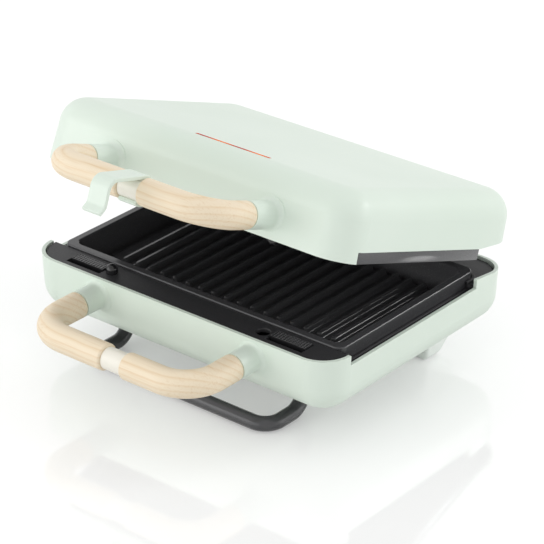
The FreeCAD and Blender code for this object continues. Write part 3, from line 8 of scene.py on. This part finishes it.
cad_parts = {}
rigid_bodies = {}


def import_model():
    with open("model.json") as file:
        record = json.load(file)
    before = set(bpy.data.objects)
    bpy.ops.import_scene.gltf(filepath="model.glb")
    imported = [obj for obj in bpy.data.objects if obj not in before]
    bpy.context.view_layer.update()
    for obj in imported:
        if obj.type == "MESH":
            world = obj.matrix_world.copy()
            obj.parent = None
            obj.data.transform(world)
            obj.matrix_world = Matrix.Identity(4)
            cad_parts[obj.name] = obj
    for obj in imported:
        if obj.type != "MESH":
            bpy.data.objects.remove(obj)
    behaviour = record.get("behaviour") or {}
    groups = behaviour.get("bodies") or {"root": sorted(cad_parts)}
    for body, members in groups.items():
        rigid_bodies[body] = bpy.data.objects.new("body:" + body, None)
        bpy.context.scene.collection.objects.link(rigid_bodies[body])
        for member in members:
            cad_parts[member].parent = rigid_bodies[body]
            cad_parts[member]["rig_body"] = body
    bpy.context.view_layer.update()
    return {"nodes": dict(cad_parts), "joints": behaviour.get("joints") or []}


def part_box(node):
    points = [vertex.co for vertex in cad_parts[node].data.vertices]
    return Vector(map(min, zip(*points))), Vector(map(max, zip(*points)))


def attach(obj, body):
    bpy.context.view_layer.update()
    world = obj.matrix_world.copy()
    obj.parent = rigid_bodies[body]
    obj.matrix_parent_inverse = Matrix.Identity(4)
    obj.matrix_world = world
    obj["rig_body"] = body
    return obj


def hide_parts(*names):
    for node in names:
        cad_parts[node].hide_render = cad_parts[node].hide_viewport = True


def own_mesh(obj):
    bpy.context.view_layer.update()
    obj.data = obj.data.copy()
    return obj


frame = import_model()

# Base and lid housings: two tubs moulded in pale green plastic with a fine satin grain.
# Their walls are drafted, their edges deeply rounded, and each carries two flared handle sockets.
housing_light = (0.735, 0.825, 0.738)
housing_shade = (0.700, 0.795, 0.704)
housing_gloss = (0.33, 0.41)
housing_grain = 0.0012
housing_grain_depth = 0.000012
cloud_size = 0.12
cloud_low, cloud_high = 0.35, 0.65
noise_low, noise_high = 0.3, 0.7
edge_shade_weight = 60
merge_gap = 1e-6
flat_within = math.radians(0.3)
sharp_above = math.radians(28)


def new_finish(name):
    """Starts a finish and gives its node tree, its shader and the object coordinates."""
    finish = bpy.data.materials.new(name)
    finish.use_nodes = True
    tree = finish.node_tree
    place = tree.nodes.new("ShaderNodeTexCoord").outputs["Object"]
    return finish, tree, tree.nodes["Principled BSDF"], place


def speckle(tree, place, size, detail=3.0, stretch=(1, 1, 1)):
    """A noise whose grains are about the given size, drawn out along the axes with a small stretch."""
    mapping = tree.nodes.new("ShaderNodeMapping")
    mapping.inputs["Scale"].default_value = stretch
    noise = tree.nodes.new("ShaderNodeTexNoise")
    noise.inputs["Scale"].default_value = 1 / size
    noise.inputs["Detail"].default_value = detail
    tree.links.new(place, mapping.inputs["Vector"])
    tree.links.new(mapping.outputs["Vector"], noise.inputs["Vector"])
    return noise.outputs["Fac"]


def ramp(tree, value, stops):
    """Turns a value into a colour through a row of (position, colour) stops."""
    node = tree.nodes.new("ShaderNodeValToRGB")
    elements = node.color_ramp.elements
    while len(elements) < len(stops):
        elements.new(0.5)
    for element, (position, colour) in zip(elements, stops):
        element.position = position
        element.color = (*colour, 1)
    tree.links.new(value, node.inputs["Fac"])
    return node.outputs["Color"]


def between(tree, value, low, high):
    """Spreads a noise value over a range."""
    node = tree.nodes.new("ShaderNodeMapRange")
    node.inputs["From Min"].default_value = noise_low
    node.inputs["From Max"].default_value = noise_high
    node.inputs["To Min"].default_value = low
    node.inputs["To Max"].default_value = high
    tree.links.new(value, node.inputs["Value"])
    return node.outputs["Result"]


def raise_surface(tree, shader, height, depth):
    """Lets a height pattern stand out of the surface."""
    bump = tree.nodes.new("ShaderNodeBump")
    bump.inputs["Strength"].default_value = 1.0
    bump.inputs["Distance"].default_value = depth
    tree.links.new(height, bump.inputs["Height"])
    tree.links.new(bump.outputs["Normal"], shader.inputs["Normal"])


def moulded(name, light, shade, gloss, grain, depth):
    """A moulded or enamelled finish: faint cloudy colour, uneven gloss and a fine grain."""
    finish, tree, shader, place = new_finish(name)
    cloud = speckle(tree, place, cloud_size)
    fine = speckle(tree, place, grain)
    colour = ramp(tree, cloud, [(cloud_low, shade), (cloud_high, light)])
    tree.links.new(colour, shader.inputs["Base Color"])
    tree.links.new(between(tree, fine, *gloss), shader.inputs["Roughness"])
    raise_surface(tree, shader, fine, depth)
    return finish


def dress(node, finish, soft_edge, segments=2, join_flats=True):
    """Shows a CAD piece as a merged copy whose sharp edges are softened."""
    source = frame["nodes"][node]
    shape = bmesh.new()
    shape.from_mesh(source.data)
    bmesh.ops.remove_doubles(shape, verts=shape.verts, dist=merge_gap)
    if join_flats:
        bmesh.ops.dissolve_limit(shape, angle_limit=flat_within, verts=shape.verts,
                                 edges=shape.edges)
    mesh = bpy.data.meshes.new(node + "_skin")
    shape.to_mesh(mesh)
    shape.free()
    mesh.attributes.remove(mesh.attributes["custom_normal"])
    return place_piece(node + "_skin", mesh, finish, source["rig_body"], soft_edge,
                       segments, [node])


def place_piece(name, mesh, finish, body, soft_edge=0.0, segments=2, stands_for=()):
    """Adds a finished mesh to the scene, on the body that carries it."""
    mesh.shade_smooth()
    mesh.set_sharp_from_angle(angle=sharp_above)
    mesh.materials.append(finish)
    piece = bpy.data.objects.new(name, mesh)
    bpy.context.scene.collection.objects.link(piece)
    if soft_edge:
        bevel = piece.modifiers.new("soft_edge", "BEVEL")
        bevel.width = soft_edge
        bevel.segments = segments
        bevel.limit_method = "ANGLE"
        bevel.angle_limit = sharp_above
        bevel.use_clamp_overlap = False
        even = piece.modifiers.new("even_shade", "WEIGHTED_NORMAL")
        even.mode = "FACE_AREA_WITH_ANGLE"
        even.weight = edge_shade_weight
        even.keep_sharp = True
    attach(piece, body)
    if stands_for:
        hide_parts(*stands_for)
    return piece


def coat(node, finish):
    """Gives a CAD piece its finish."""
    mesh = frame["nodes"][node].data
    mesh.materials.clear()
    mesh.materials.append(finish)


satin_green = moulded("satin_green", housing_light, housing_shade, housing_gloss, housing_grain,
                      housing_grain_depth)
for node in ("base_shell", "lid_shell"):
    coat(node, satin_green)

# Rear feet: two blocks moulded with the same grain as the housing, fixed under the rear of the base.
# Their paler green is painted light that brightens the feet where they sit in shade under the base.
# The mould leaves a small soft edge round them.
foot_painted_light = (0.870, 0.915, 0.875)
foot_painted_light_dim = (0.840, 0.890, 0.845)
foot_soft_edge = 0.0006
# painted light: the feet's finish is paler than the housing's so that they read bright in the shade
painted_light_green = moulded("painted_light_green", foot_painted_light, foot_painted_light_dim, housing_gloss, housing_grain,
                     housing_grain_depth)
for node in ("rear_foot_right", "rear_foot_left"):
    dress(node, painted_light_green, foot_soft_edge)

# Accent stripe: a thin strip let into the top of the lid, printed in warm bands that run
# from red to orange and back along its length.
stripe_red = (0.48, 0.006, 0.004)
stripe_orange = (0.95, 0.19, 0.0)
stripe_bands = 2.0
stripe_start = 0.10
stripe_gloss = (0.55, 0.70)
stripe_grain = 0.0008
stripe_shine = 0.05
half_swing = 0.5
stripe_low, stripe_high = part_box("accent_stripe")
stripe_length = stripe_high.x - stripe_low.x

printed, tree, shader, place = new_finish("printed_stripe")
apart = tree.nodes.new("ShaderNodeSeparateXYZ")
turns = tree.nodes.new("ShaderNodeMath")
turns.operation = "MULTIPLY_ADD"
band_turn = 2 * math.pi * stripe_bands / stripe_length
turns.inputs[1].default_value = band_turn
turns.inputs[2].default_value = -(stripe_low.x + stripe_start * stripe_length) * band_turn
wave = tree.nodes.new("ShaderNodeMath")
wave.operation = "COSINE"
share = tree.nodes.new("ShaderNodeMath")
share.operation = "MULTIPLY_ADD"
share.inputs[1].default_value = half_swing
share.inputs[2].default_value = half_swing
tree.links.new(place, apart.inputs["Vector"])
tree.links.new(apart.outputs["X"], turns.inputs[0])
tree.links.new(turns.outputs["Value"], wave.inputs[0])
tree.links.new(wave.outputs["Value"], share.inputs[0])
bands = ramp(tree, share.outputs["Value"], [(0.0, stripe_orange), (1.0, stripe_red)])
tree.links.new(bands, shader.inputs["Base Color"])
stripe_dull = between(tree, speckle(tree, place, stripe_grain), *stripe_gloss)
tree.links.new(stripe_dull, shader.inputs["Roughness"])
shader.inputs["Specular IOR Level"].default_value = stripe_shine
coat("accent_stripe", printed)

# Decks: black heat-proof frames round the plates, moulded with a fine satin grain.
# They sit just below the rims; the guide posts are pressed into their front strips.
deck_light = (0.030, 0.030, 0.032)
deck_shade = (0.025, 0.025, 0.027)
deck_gloss = (0.42, 0.54)
deck_grain = 0.0007
deck_grain_depth = 0.00002
deck_soft_edge = 0.0004
satin_black = moulded("satin_black", deck_light, deck_shade, deck_gloss, deck_grain, deck_grain_depth)
for node in ("base_deck", "lid_deck"):
    dress(node, satin_black, deck_soft_edge)
post_light = (0.020, 0.020, 0.022)
post_shade = (0.014, 0.014, 0.015)
post_gloss = (0.12, 0.18)
post_grain = 0.001
post_grain_depth = 0.000004
polished_black = moulded("polished_black", post_light, post_shade, post_gloss, post_grain,
                         post_grain_depth)
for node in ("base_guide_post", "lid_guide_post"):
    dress(node, polished_black, deck_soft_edge)

# Cooking plates: cast aluminium with ribs and a grease channel, sprayed with a black
# non-stick coating that is smooth to the hand and sparkles faintly.
coating_dark = (0.056, 0.056, 0.059)
coating_speck = (0.090, 0.090, 0.095)
coating_gloss = (0.09, 0.14)
coating_grain = 0.0007
coating_grain_detail = 2.0
coating_grain_depth = 0.000003
speck_low, speck_high = 0.58, 0.74
coating_soft_edge = 0.0006
coating, tree, shader, place = new_finish("non_stick_coating")
specks = speckle(tree, place, coating_grain, coating_grain_detail)
sparkle = ramp(tree, specks, [(speck_low, coating_dark), (speck_high, coating_speck)])
tree.links.new(sparkle, shader.inputs["Base Color"])
tree.links.new(between(tree, specks, *coating_gloss), shader.inputs["Roughness"])
raise_surface(tree, shader, specks, coating_grain_depth)
for node in ("lower_plate", "upper_plate"):
    dress(node, coating, coating_soft_edge)

# Side bands of the lid: two flat rails, screwed to the lid deck, that close the side notches of the
# lid beside the plate. They are cast, and sprayed with the same coating as the plates.
band_front = -0.0802
band_rear = 0.0547
band_inner = 0.1185
band_outer = 0.1252
band_depth = 0.0073
band_soft_edge = 0.0003
lid_angle = math.radians(20)
lid_gap = 0.0009
hinge_behind = 0.093
hinge_above = 0.001
joint_of = {joint["name"]: joint for joint in frame["joints"]}
hinge_place = Vector(joint_of["lid_hinge"]["pos_m"])
rim_centre = hinge_place - Vector((0, hinge_behind, hinge_above))
swing_open = (Matrix.Translation(hinge_place) @ Matrix.Rotation(-lid_angle, 4, "X")
              @ Matrix.Translation(-hinge_place))
half_place = {"base": Matrix.Translation(rim_centre)}
half_place["lid"] = (swing_open @ Matrix.Translation(rim_centre + Vector((0, 0, lid_gap)))
                     @ Matrix.Rotation(math.pi, 4, "Y"))


def side_band(side, outwards):
    """One rail in a side notch of the lid, lying along the plate."""
    shape = bmesh.new()
    bmesh.ops.create_cube(shape, size=1)
    size = Vector((band_outer - band_inner, band_rear - band_front, band_depth))
    middle = Vector((-outwards * (band_inner + band_outer) / 2, (band_front + band_rear) / 2,
                     -band_depth / 2))
    bmesh.ops.scale(shape, vec=size, verts=shape.verts)
    bmesh.ops.bevel(shape, geom=shape.edges[:], offset=band_soft_edge, segments=2, profile=0.5,
                    affect="EDGES", material=-1)
    bmesh.ops.transform(shape, matrix=half_place["lid"] @ Matrix.Translation(middle),
                        verts=shape.verts)
    mesh = bpy.data.meshes.new(f"lid_band_{side}")
    shape.to_mesh(mesh)
    shape.free()
    return place_piece(f"lid_band_{side}", mesh, coating, "lid")


for side, outwards in (("right", 1), ("left", -1)):
    side_band(side, outwards)

# Plate catches: black sliding pads in the front strips, one moulding each with its nose and foot.
# The thumb pad is a waffle of fine crossing ridges that a finger grips: the ridges are polished and
# coloured pale grey as a painted highlight, and the cells between them are dull.
pad_width = 0.028
pad_length = 0.0086
pad_margin = 0.0006
waffle_columns = 12
waffle_rows = 5
ridge_width = 0.0006
ridge_height = 0.00035
waffle_sink = 0.0002
catch_light = (0.014, 0.014, 0.015)
catch_shade = (0.010, 0.010, 0.011)
# the ridges' pale grey is a painted highlight on the black moulding
ridge_painted_highlight = (0.170, 0.170, 0.174)
ridge_painted_highlight_dim = (0.130, 0.130, 0.134)
catch_gloss = (0.34, 0.44)
catch_shine = 0.1
ridge_gloss = (0.12, 0.18)
ridge_shine = 1.0
catch_grain = 0.0006
catch_grain_depth = 0.00001
ridge_grain_depth = 0.000002
catch_soft_edge = 0.0003


def thumb_pad(half, side):
    """The waffle of ridges on the thumb pad of one catch."""
    node = f"{half}_catch_{side}"
    low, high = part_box(f"base_catch_{side}")
    middle = Vector(((low.x + high.x) / 2, low.y + pad_length / 2, high.z + ridge_height))
    middle -= rim_centre
    if half == "lid":
        middle.x = -middle.x
    shape = bmesh.new()
    bmesh.ops.create_grid(shape, x_segments=waffle_columns, y_segments=waffle_rows, size=0.5)
    size = Vector((pad_width - 2 * pad_margin, pad_length - 2 * pad_margin, 1))
    bmesh.ops.scale(shape, vec=size, verts=shape.verts)
    ridges = bmesh.ops.inset_individual(shape, faces=shape.faces[:], thickness=ridge_width / 2)
    for ridge in ridges["faces"]:
        ridge.material_index = 1
    cells = [face for face in shape.faces if face.material_index == 0]
    hollows = bmesh.ops.inset_individual(shape, faces=cells, thickness=ridge_width / 4,
                                         depth=-ridge_height)
    for flank in hollows["faces"]:
        flank.material_index = 0
    bmesh.ops.solidify(shape, geom=shape.faces[:], thickness=waffle_sink)
    bmesh.ops.recalc_face_normals(shape, faces=shape.faces[:])
    bmesh.ops.transform(shape, matrix=half_place[half] @ Matrix.Translation(middle),
                        verts=shape.verts)
    mesh = bpy.data.meshes.new(node + "_waffle")
    shape.to_mesh(mesh)
    shape.free()
    piece = place_piece(node + "_waffle", mesh, hatched_black, node)
    mesh.materials.append(painted_highlight_black)
    return piece


hatched_black = moulded("hatched_black", catch_light, catch_shade, catch_gloss, catch_grain,
                        catch_grain_depth)
# ridge finish: the black moulding painted pale grey as a highlight, with a glossy surface
painted_highlight_black = moulded("painted_highlight_black", ridge_painted_highlight, ridge_painted_highlight_dim, ridge_gloss, catch_grain,
                       ridge_grain_depth)
for finish, shine in ((hatched_black, catch_shine), (painted_highlight_black, ridge_shine)):
    finish.node_tree.nodes["Principled BSDF"].inputs["Specular IOR Level"].default_value = shine
for half in ("base", "lid"):
    for side in ("right", "left"):
        dress(f"{half}_catch_{side}", hatched_black, catch_soft_edge)
        thumb_pad(half, side)

# Handle bars: bent steel bars that run inside the wooden grips. Only the thick neck in the middle
# shows, dipped in cream enamel with a soft gloss.
cream_light = (0.88, 0.85, 0.76)
cream_shade = (0.84, 0.81, 0.72)
cream_gloss = (0.30, 0.40)
cream_grain = 0.0015
cream_grain_depth = 0.00001
neck_soft_edge = 0.0005
cream_enamel = moulded("cream_enamel", cream_light, cream_shade, cream_gloss, cream_grain,
                       cream_grain_depth)
for node in ("lower_handle_core", "upper_handle_core"):
    dress(node, cream_enamel, neck_soft_edge, join_flats=False)

# Wooden grips: elbows turned and bent from pale birch, bored for the bar and lacquered satin.
# The grain runs across the grill, so the fronts show long streaks and the arms show rings.
birch_pale = (0.860, 0.735, 0.555)
birch_middle = (0.815, 0.655, 0.450)
birch_dark = (0.680, 0.470, 0.260)
birch_vein = (0.760, 0.580, 0.365)
grip_soft_edge = 0.0014
birch_gloss = (0.42, 0.52)
ring_width = 0.0038
ring_scale = 0.314
ring_wander = 3.0
ring_detail = 3.0
ring_detail_scale = 0.25
ring_detail_rough = 0.4
fibre_size = 0.0011
fibre_detail = 4.0
fibre_draw = 0.035
fibre_depth = 0.00004
figure_size = 0.008
figure_detail = 2.0
figure_draw = 0.15
figure_share = (0.15, 0.5)
heart_below = 0.035


def birch_wood(name, heart):
    """Birch whose rings lie round a heart line that runs across the grill."""
    finish, tree, shader, place = new_finish(name)
    centred = tree.nodes.new("ShaderNodeMapping")
    centred.inputs["Location"].default_value = -heart
    rings = tree.nodes.new("ShaderNodeTexWave")
    rings.wave_type = "RINGS"
    rings.rings_direction = "X"
    rings.wave_profile = "SAW"
    rings.inputs["Scale"].default_value = ring_scale / ring_width
    rings.inputs["Distortion"].default_value = ring_wander
    rings.inputs["Detail"].default_value = ring_detail
    rings.inputs["Detail Scale"].default_value = ring_detail_scale
    rings.inputs["Detail Roughness"].default_value = ring_detail_rough
    streak = speckle(tree, place, fibre_size, fibre_detail, (fibre_draw, 1, 1))
    figure = speckle(tree, place, figure_size, figure_detail, (figure_draw, 1, 1))
    tree.links.new(place, centred.inputs["Vector"])
    tree.links.new(centred.outputs["Vector"], rings.inputs["Vector"])
    ring_colour = ramp(tree, rings.outputs["Fac"],
                       [(0.0, birch_middle), (0.15, birch_pale), (0.62, birch_pale),
                        (0.88, birch_middle), (0.96, birch_vein), (1.0, birch_middle)])
    streak_colour = ramp(tree, streak, [(0.36, birch_pale), (0.52, birch_pale), (0.75, birch_dark)])
    mixed = tree.nodes.new("ShaderNodeMix")
    mixed.data_type = "RGBA"
    tree.links.new(between(tree, figure, *figure_share), mixed.inputs["Factor"])
    tree.links.new(ring_colour, mixed.inputs["A"])
    tree.links.new(streak_colour, mixed.inputs["B"])
    tree.links.new(mixed.outputs["Result"], shader.inputs["Base Color"])
    tree.links.new(between(tree, streak, *birch_gloss), shader.inputs["Roughness"])
    raise_surface(tree, shader, streak, fibre_depth)
    return finish


for level in ("lower", "upper"):
    neck_low, neck_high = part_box(f"{level}_handle_core")
    heart = Vector((0, neck_low.y, neck_low.z - heart_below))
    birch = birch_wood(f"{level}_birch", heart)
    for side in ("right", "left"):
        dress(f"{level}_grip_{side}", birch, grip_soft_edge, segments=3, join_flats=False)

# Latch: one moulded strip in the housing's green that curls round the upper neck, with a hook
# and a thumb lip at its free end.
latch_soft_edge = 0.0005
dress("latch", satin_green, latch_soft_edge, segments=3)

# Front stand: a round steel bar bent into a loop, dipped in black enamel, its posts held in the
# base by two clamp rings.
enamel_light = (0.056, 0.056, 0.060)
enamel_shade = (0.046, 0.046, 0.050)
enamel_gloss = (0.18, 0.26)
enamel_grain = 0.003
enamel_grain_depth = 0.00003
stand_soft_edge = 0.0005
black_enamel = moulded("black_enamel", enamel_light, enamel_shade, enamel_gloss, enamel_grain,
                       enamel_grain_depth)
dress("front_stand", black_enamel, stand_soft_edge, join_flats=False)

# Hinges: pressed steel arms on the base and ears on the lid, enamelled black, joined by two
# bright turned pins.
hinge_soft_edge = 0.0004
for node in ("hinge_arm_right", "hinge_arm_left", "hinge_ears_right", "hinge_ears_left"):
    dress(node, black_enamel, hinge_soft_edge)
steel_bright = (0.62, 0.62, 0.63)
steel_dull = (0.48, 0.48, 0.49)
steel_gloss = (0.24, 0.36)
steel_draw = (1, 0.05, 0.05)
mark_size = 0.0008
mark_depth = 0.00001
no_draw = (1, 1, 1)


def metal(name, bright, dull, gloss, draw):
    """A bare metal with fine drawn or rolled marks along one axis."""
    finish, tree, shader, place = new_finish(name)
    marks = speckle(tree, place, mark_size, stretch=draw)
    colour = ramp(tree, marks, [(cloud_low, dull), (cloud_high, bright)])
    tree.links.new(colour, shader.inputs["Base Color"])
    tree.links.new(between(tree, marks, *gloss), shader.inputs["Roughness"])
    raise_surface(tree, shader, marks, mark_depth)
    shader.inputs["Metallic"].default_value = 1.0
    return finish


turned_steel = metal("turned_steel", steel_bright, steel_dull, steel_gloss, steel_draw)
coat("hinge_pins", turned_steel)

# Fixings: the clamp rings of the stand and the heat shield screws are bare steel. The deck screws,
# which hold the decks in the housings, are chemically blackened.
for node in ("stand_plates", "base_shield_screws", "lid_shield_screws"):
    coat(node, turned_steel)
black_bright = (0.050, 0.050, 0.053)
black_dull = (0.032, 0.032, 0.034)
black_gloss = (0.34, 0.46)
blackened_steel = metal("blackened_steel", black_bright, black_dull, black_gloss, no_draw)
for node in ("base_deck_screws", "lid_deck_screws"):
    coat(node, blackened_steel)

# Foot pads: discs of soft black rubber, pressed into the rear feet so that the grill doesn't
# slide on the table.
rubber_light = (0.022, 0.022, 0.022)
rubber_shade = (0.014, 0.014, 0.014)
rubber_gloss = (0.70, 0.85)
rubber_grain = 0.0005
rubber_grain_depth = 0.00004
rubber_soft_edge = 0.0004
soft_rubber = moulded("soft_rubber", rubber_light, rubber_shade, rubber_gloss, rubber_grain,
                      rubber_grain_depth)
dress("foot_pads", soft_rubber, rubber_soft_edge, join_flats=False)

# Cord gland: a bush in the rear wall, with a collar outside, moulded in the same black plastic
# as the decks and pushed in from behind.
gland_soft_edge = 0.0005
dress("cord_gland", satin_black, gland_soft_edge, join_flats=False)

# Heating tubes and heat shields: bent steel tubes browned by the heat, over bright pressed
# sheets that are screwed to bosses in the housings.
tube_bright = (0.40, 0.36, 0.31)
tube_dull = (0.24, 0.21, 0.18)
sheet_bright = (0.74, 0.75, 0.76)
sheet_dull = (0.62, 0.63, 0.64)
tube_gloss = (0.35, 0.50)
sheet_gloss = (0.22, 0.34)
sheet_draw = (0.03, 1, 1)
browned_steel = metal("browned_steel", tube_bright, tube_dull, tube_gloss, no_draw)
rolled_sheet = metal("rolled_sheet", sheet_bright, sheet_dull, sheet_gloss, sheet_draw)
for level in ("lower", "upper"):
    coat(f"{level}_heater", browned_steel)
    coat(f"{level}_heat_shield", rolled_sheet)

# Catch springs: small coils of drawn steel wire in front of the catches. One end bears on the housing
# wall and the other on the catch, so a coil shortens as its catch is pulled forward.
wire_gloss = (0.22, 0.32)
drawn_wire = metal("drawn_wire", steel_bright, steel_dull, wire_gloss, no_draw)
for half in ("base", "lid"):
    for side in ("right", "left"):
        spring = dress(f"{half}_catch_spring_{side}", drawn_wire, soft_edge=0, join_flats=False)
        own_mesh(spring)

# Controls behind the lower plate: a terminal block moulded in white plastic, a thermostat in a
# pressed can and a thermal fuse, all seated on the floor of the base.
white_light = (0.80, 0.79, 0.75)
white_shade = (0.72, 0.71, 0.67)
white_gloss = (0.40, 0.50)
white_grain = 0.001
white_grain_depth = 0.00002
block_soft_edge = 0.0005
can_gloss = (0.25, 0.40)
can_soft_edge = 0.0003
white_plastic = moulded("white_plastic", white_light, white_shade, white_gloss, white_grain,
                        white_grain_depth)
pressed_can = metal("pressed_can", sheet_bright, steel_dull, can_gloss, no_draw)
dress("terminal_block", white_plastic, block_soft_edge)
for node in ("thermostat", "thermal_fuse"):
    dress(node, pressed_can, can_soft_edge)

# Studio: a pale polished floor and a white surround, lit by a wide lamp above and four lamps
# round the grill. The camera stands where the photograph was taken, level, with a long lens.
floor_size = 8.0
floor_light = (0.78, 0.785, 0.78)
floor_shade = (0.76, 0.765, 0.76)
floor_lift = 0.28
floor_mirror = 1.9
floor_gloss = (0.05, 0.08)
floor_cloud_size = 0.5
floor_grain = 0.01
world_strength = 0.82
lamps = (
    ("top_lamp", (0.1, -0.3, 1.8), 1.5, 1.0),
    ("right_lamp", (1.5, 0.7, 0.4), 1.0, 3.4),
    ("left_lamp", (-0.75, -0.95, 0.4), 0.9, 3.5),
    ("front_lamp", (-0.1, -1.65, 0.12), 1.2, 4.0),
    ("rear_lamp", (1.0, 1.25, 0.8), 0.35, 4.0),
)
camera_turn = math.radians(39.4)
camera_tilt = math.radians(27.0)
camera_distance = 1.7032
camera_right = 0.00176
camera_up = -0.01125
photo_pixels = 544
focal_pixels = 2600
film_width = 36


def seen_directly(tree):
    """One where the camera, a gloss or a see-through piece looks straight at a surface, else zero."""
    path = tree.nodes.new("ShaderNodeLightPath")
    total = path.outputs["Is Camera Ray"]
    for name in ("Is Glossy Ray", "Is Transmission Ray"):
        add = tree.nodes.new("ShaderNodeMath")
        add.operation = "MAXIMUM"
        tree.links.new(total, add.inputs[0])
        tree.links.new(path.outputs[name], add.inputs[1])
        total = add.outputs["Value"]
    return total


pale_floor, tree, shader, place = new_finish("pale_floor")
floor_cloud = speckle(tree, place, floor_cloud_size)
floor_colour = ramp(tree, floor_cloud, [(cloud_low, floor_shade), (cloud_high, floor_light)])
floor_dull = between(tree, speckle(tree, place, floor_grain), *floor_gloss)
tree.links.new(floor_colour, shader.inputs["Base Color"])
tree.links.new(floor_dull, shader.inputs["Roughness"])
shader.inputs["IOR"].default_value = floor_mirror
shader.inputs["Emission Color"].default_value = (1, 1, 1, 1)
lift = tree.nodes.new("ShaderNodeMath")
lift.operation = "MULTIPLY"
lift.inputs[1].default_value = floor_lift
tree.links.new(seen_directly(tree), lift.inputs[0])
tree.links.new(lift.outputs["Value"], shader.inputs["Emission Strength"])
shape = bmesh.new()
bmesh.ops.create_grid(shape, x_segments=1, y_segments=1, size=floor_size / 2)
floor_mesh = bpy.data.meshes.new("floor")
shape.to_mesh(floor_mesh)
shape.free()
floor_mesh.materials.append(pale_floor)
floor = bpy.data.objects.new("floor", floor_mesh)
bpy.context.scene.collection.objects.link(floor)

surround = bpy.data.worlds.new("white_surround")
surround.use_nodes = True
tree = surround.node_tree
sky = tree.nodes["Background"]
sky.inputs["Color"].default_value = (1, 1, 1, 1)
level = tree.nodes.new("ShaderNodeMapRange")
level.inputs["To Min"].default_value = world_strength
level.inputs["To Max"].default_value = 1.0
tree.links.new(seen_directly(tree), level.inputs["Value"])
tree.links.new(level.outputs["Result"], sky.inputs["Strength"])
bpy.context.scene.world = surround

for name, spot, size, power in lamps:
    light = bpy.data.lights.new(name, "AREA")
    light.shape = "DISK"
    light.size = size
    light.energy = power
    lamp = bpy.data.objects.new(name, light)
    lamp.location = spot
    lamp.rotation_euler = (rim_centre - Vector(spot)).to_track_quat("-Z", "Y").to_euler()
    bpy.context.scene.collection.objects.link(lamp)

level_share = math.cos(camera_tilt)
to_camera = Vector((math.sin(camera_turn) * level_share, -math.cos(camera_turn) * level_share,
                    math.sin(camera_tilt)))
to_right = Vector((math.cos(camera_turn), math.sin(camera_turn), 0))
to_top = to_camera.cross(to_right)
lens = bpy.data.cameras.new("camera")
lens.sensor_width = film_width
lens.lens = film_width * focal_pixels / photo_pixels
camera = bpy.data.objects.new("camera", lens)
camera_spot = (rim_centre + to_camera * camera_distance + to_right * camera_right
               + to_top * camera_up)
facing = Matrix((to_right, to_top, to_camera)).transposed().to_4x4()
camera.matrix_world = Matrix.Translation(camera_spot) @ facing
bpy.context.scene.collection.objects.link(camera)
bpy.context.scene.camera = camera
bpy.context.scene.view_settings.view_transform = "Standard"
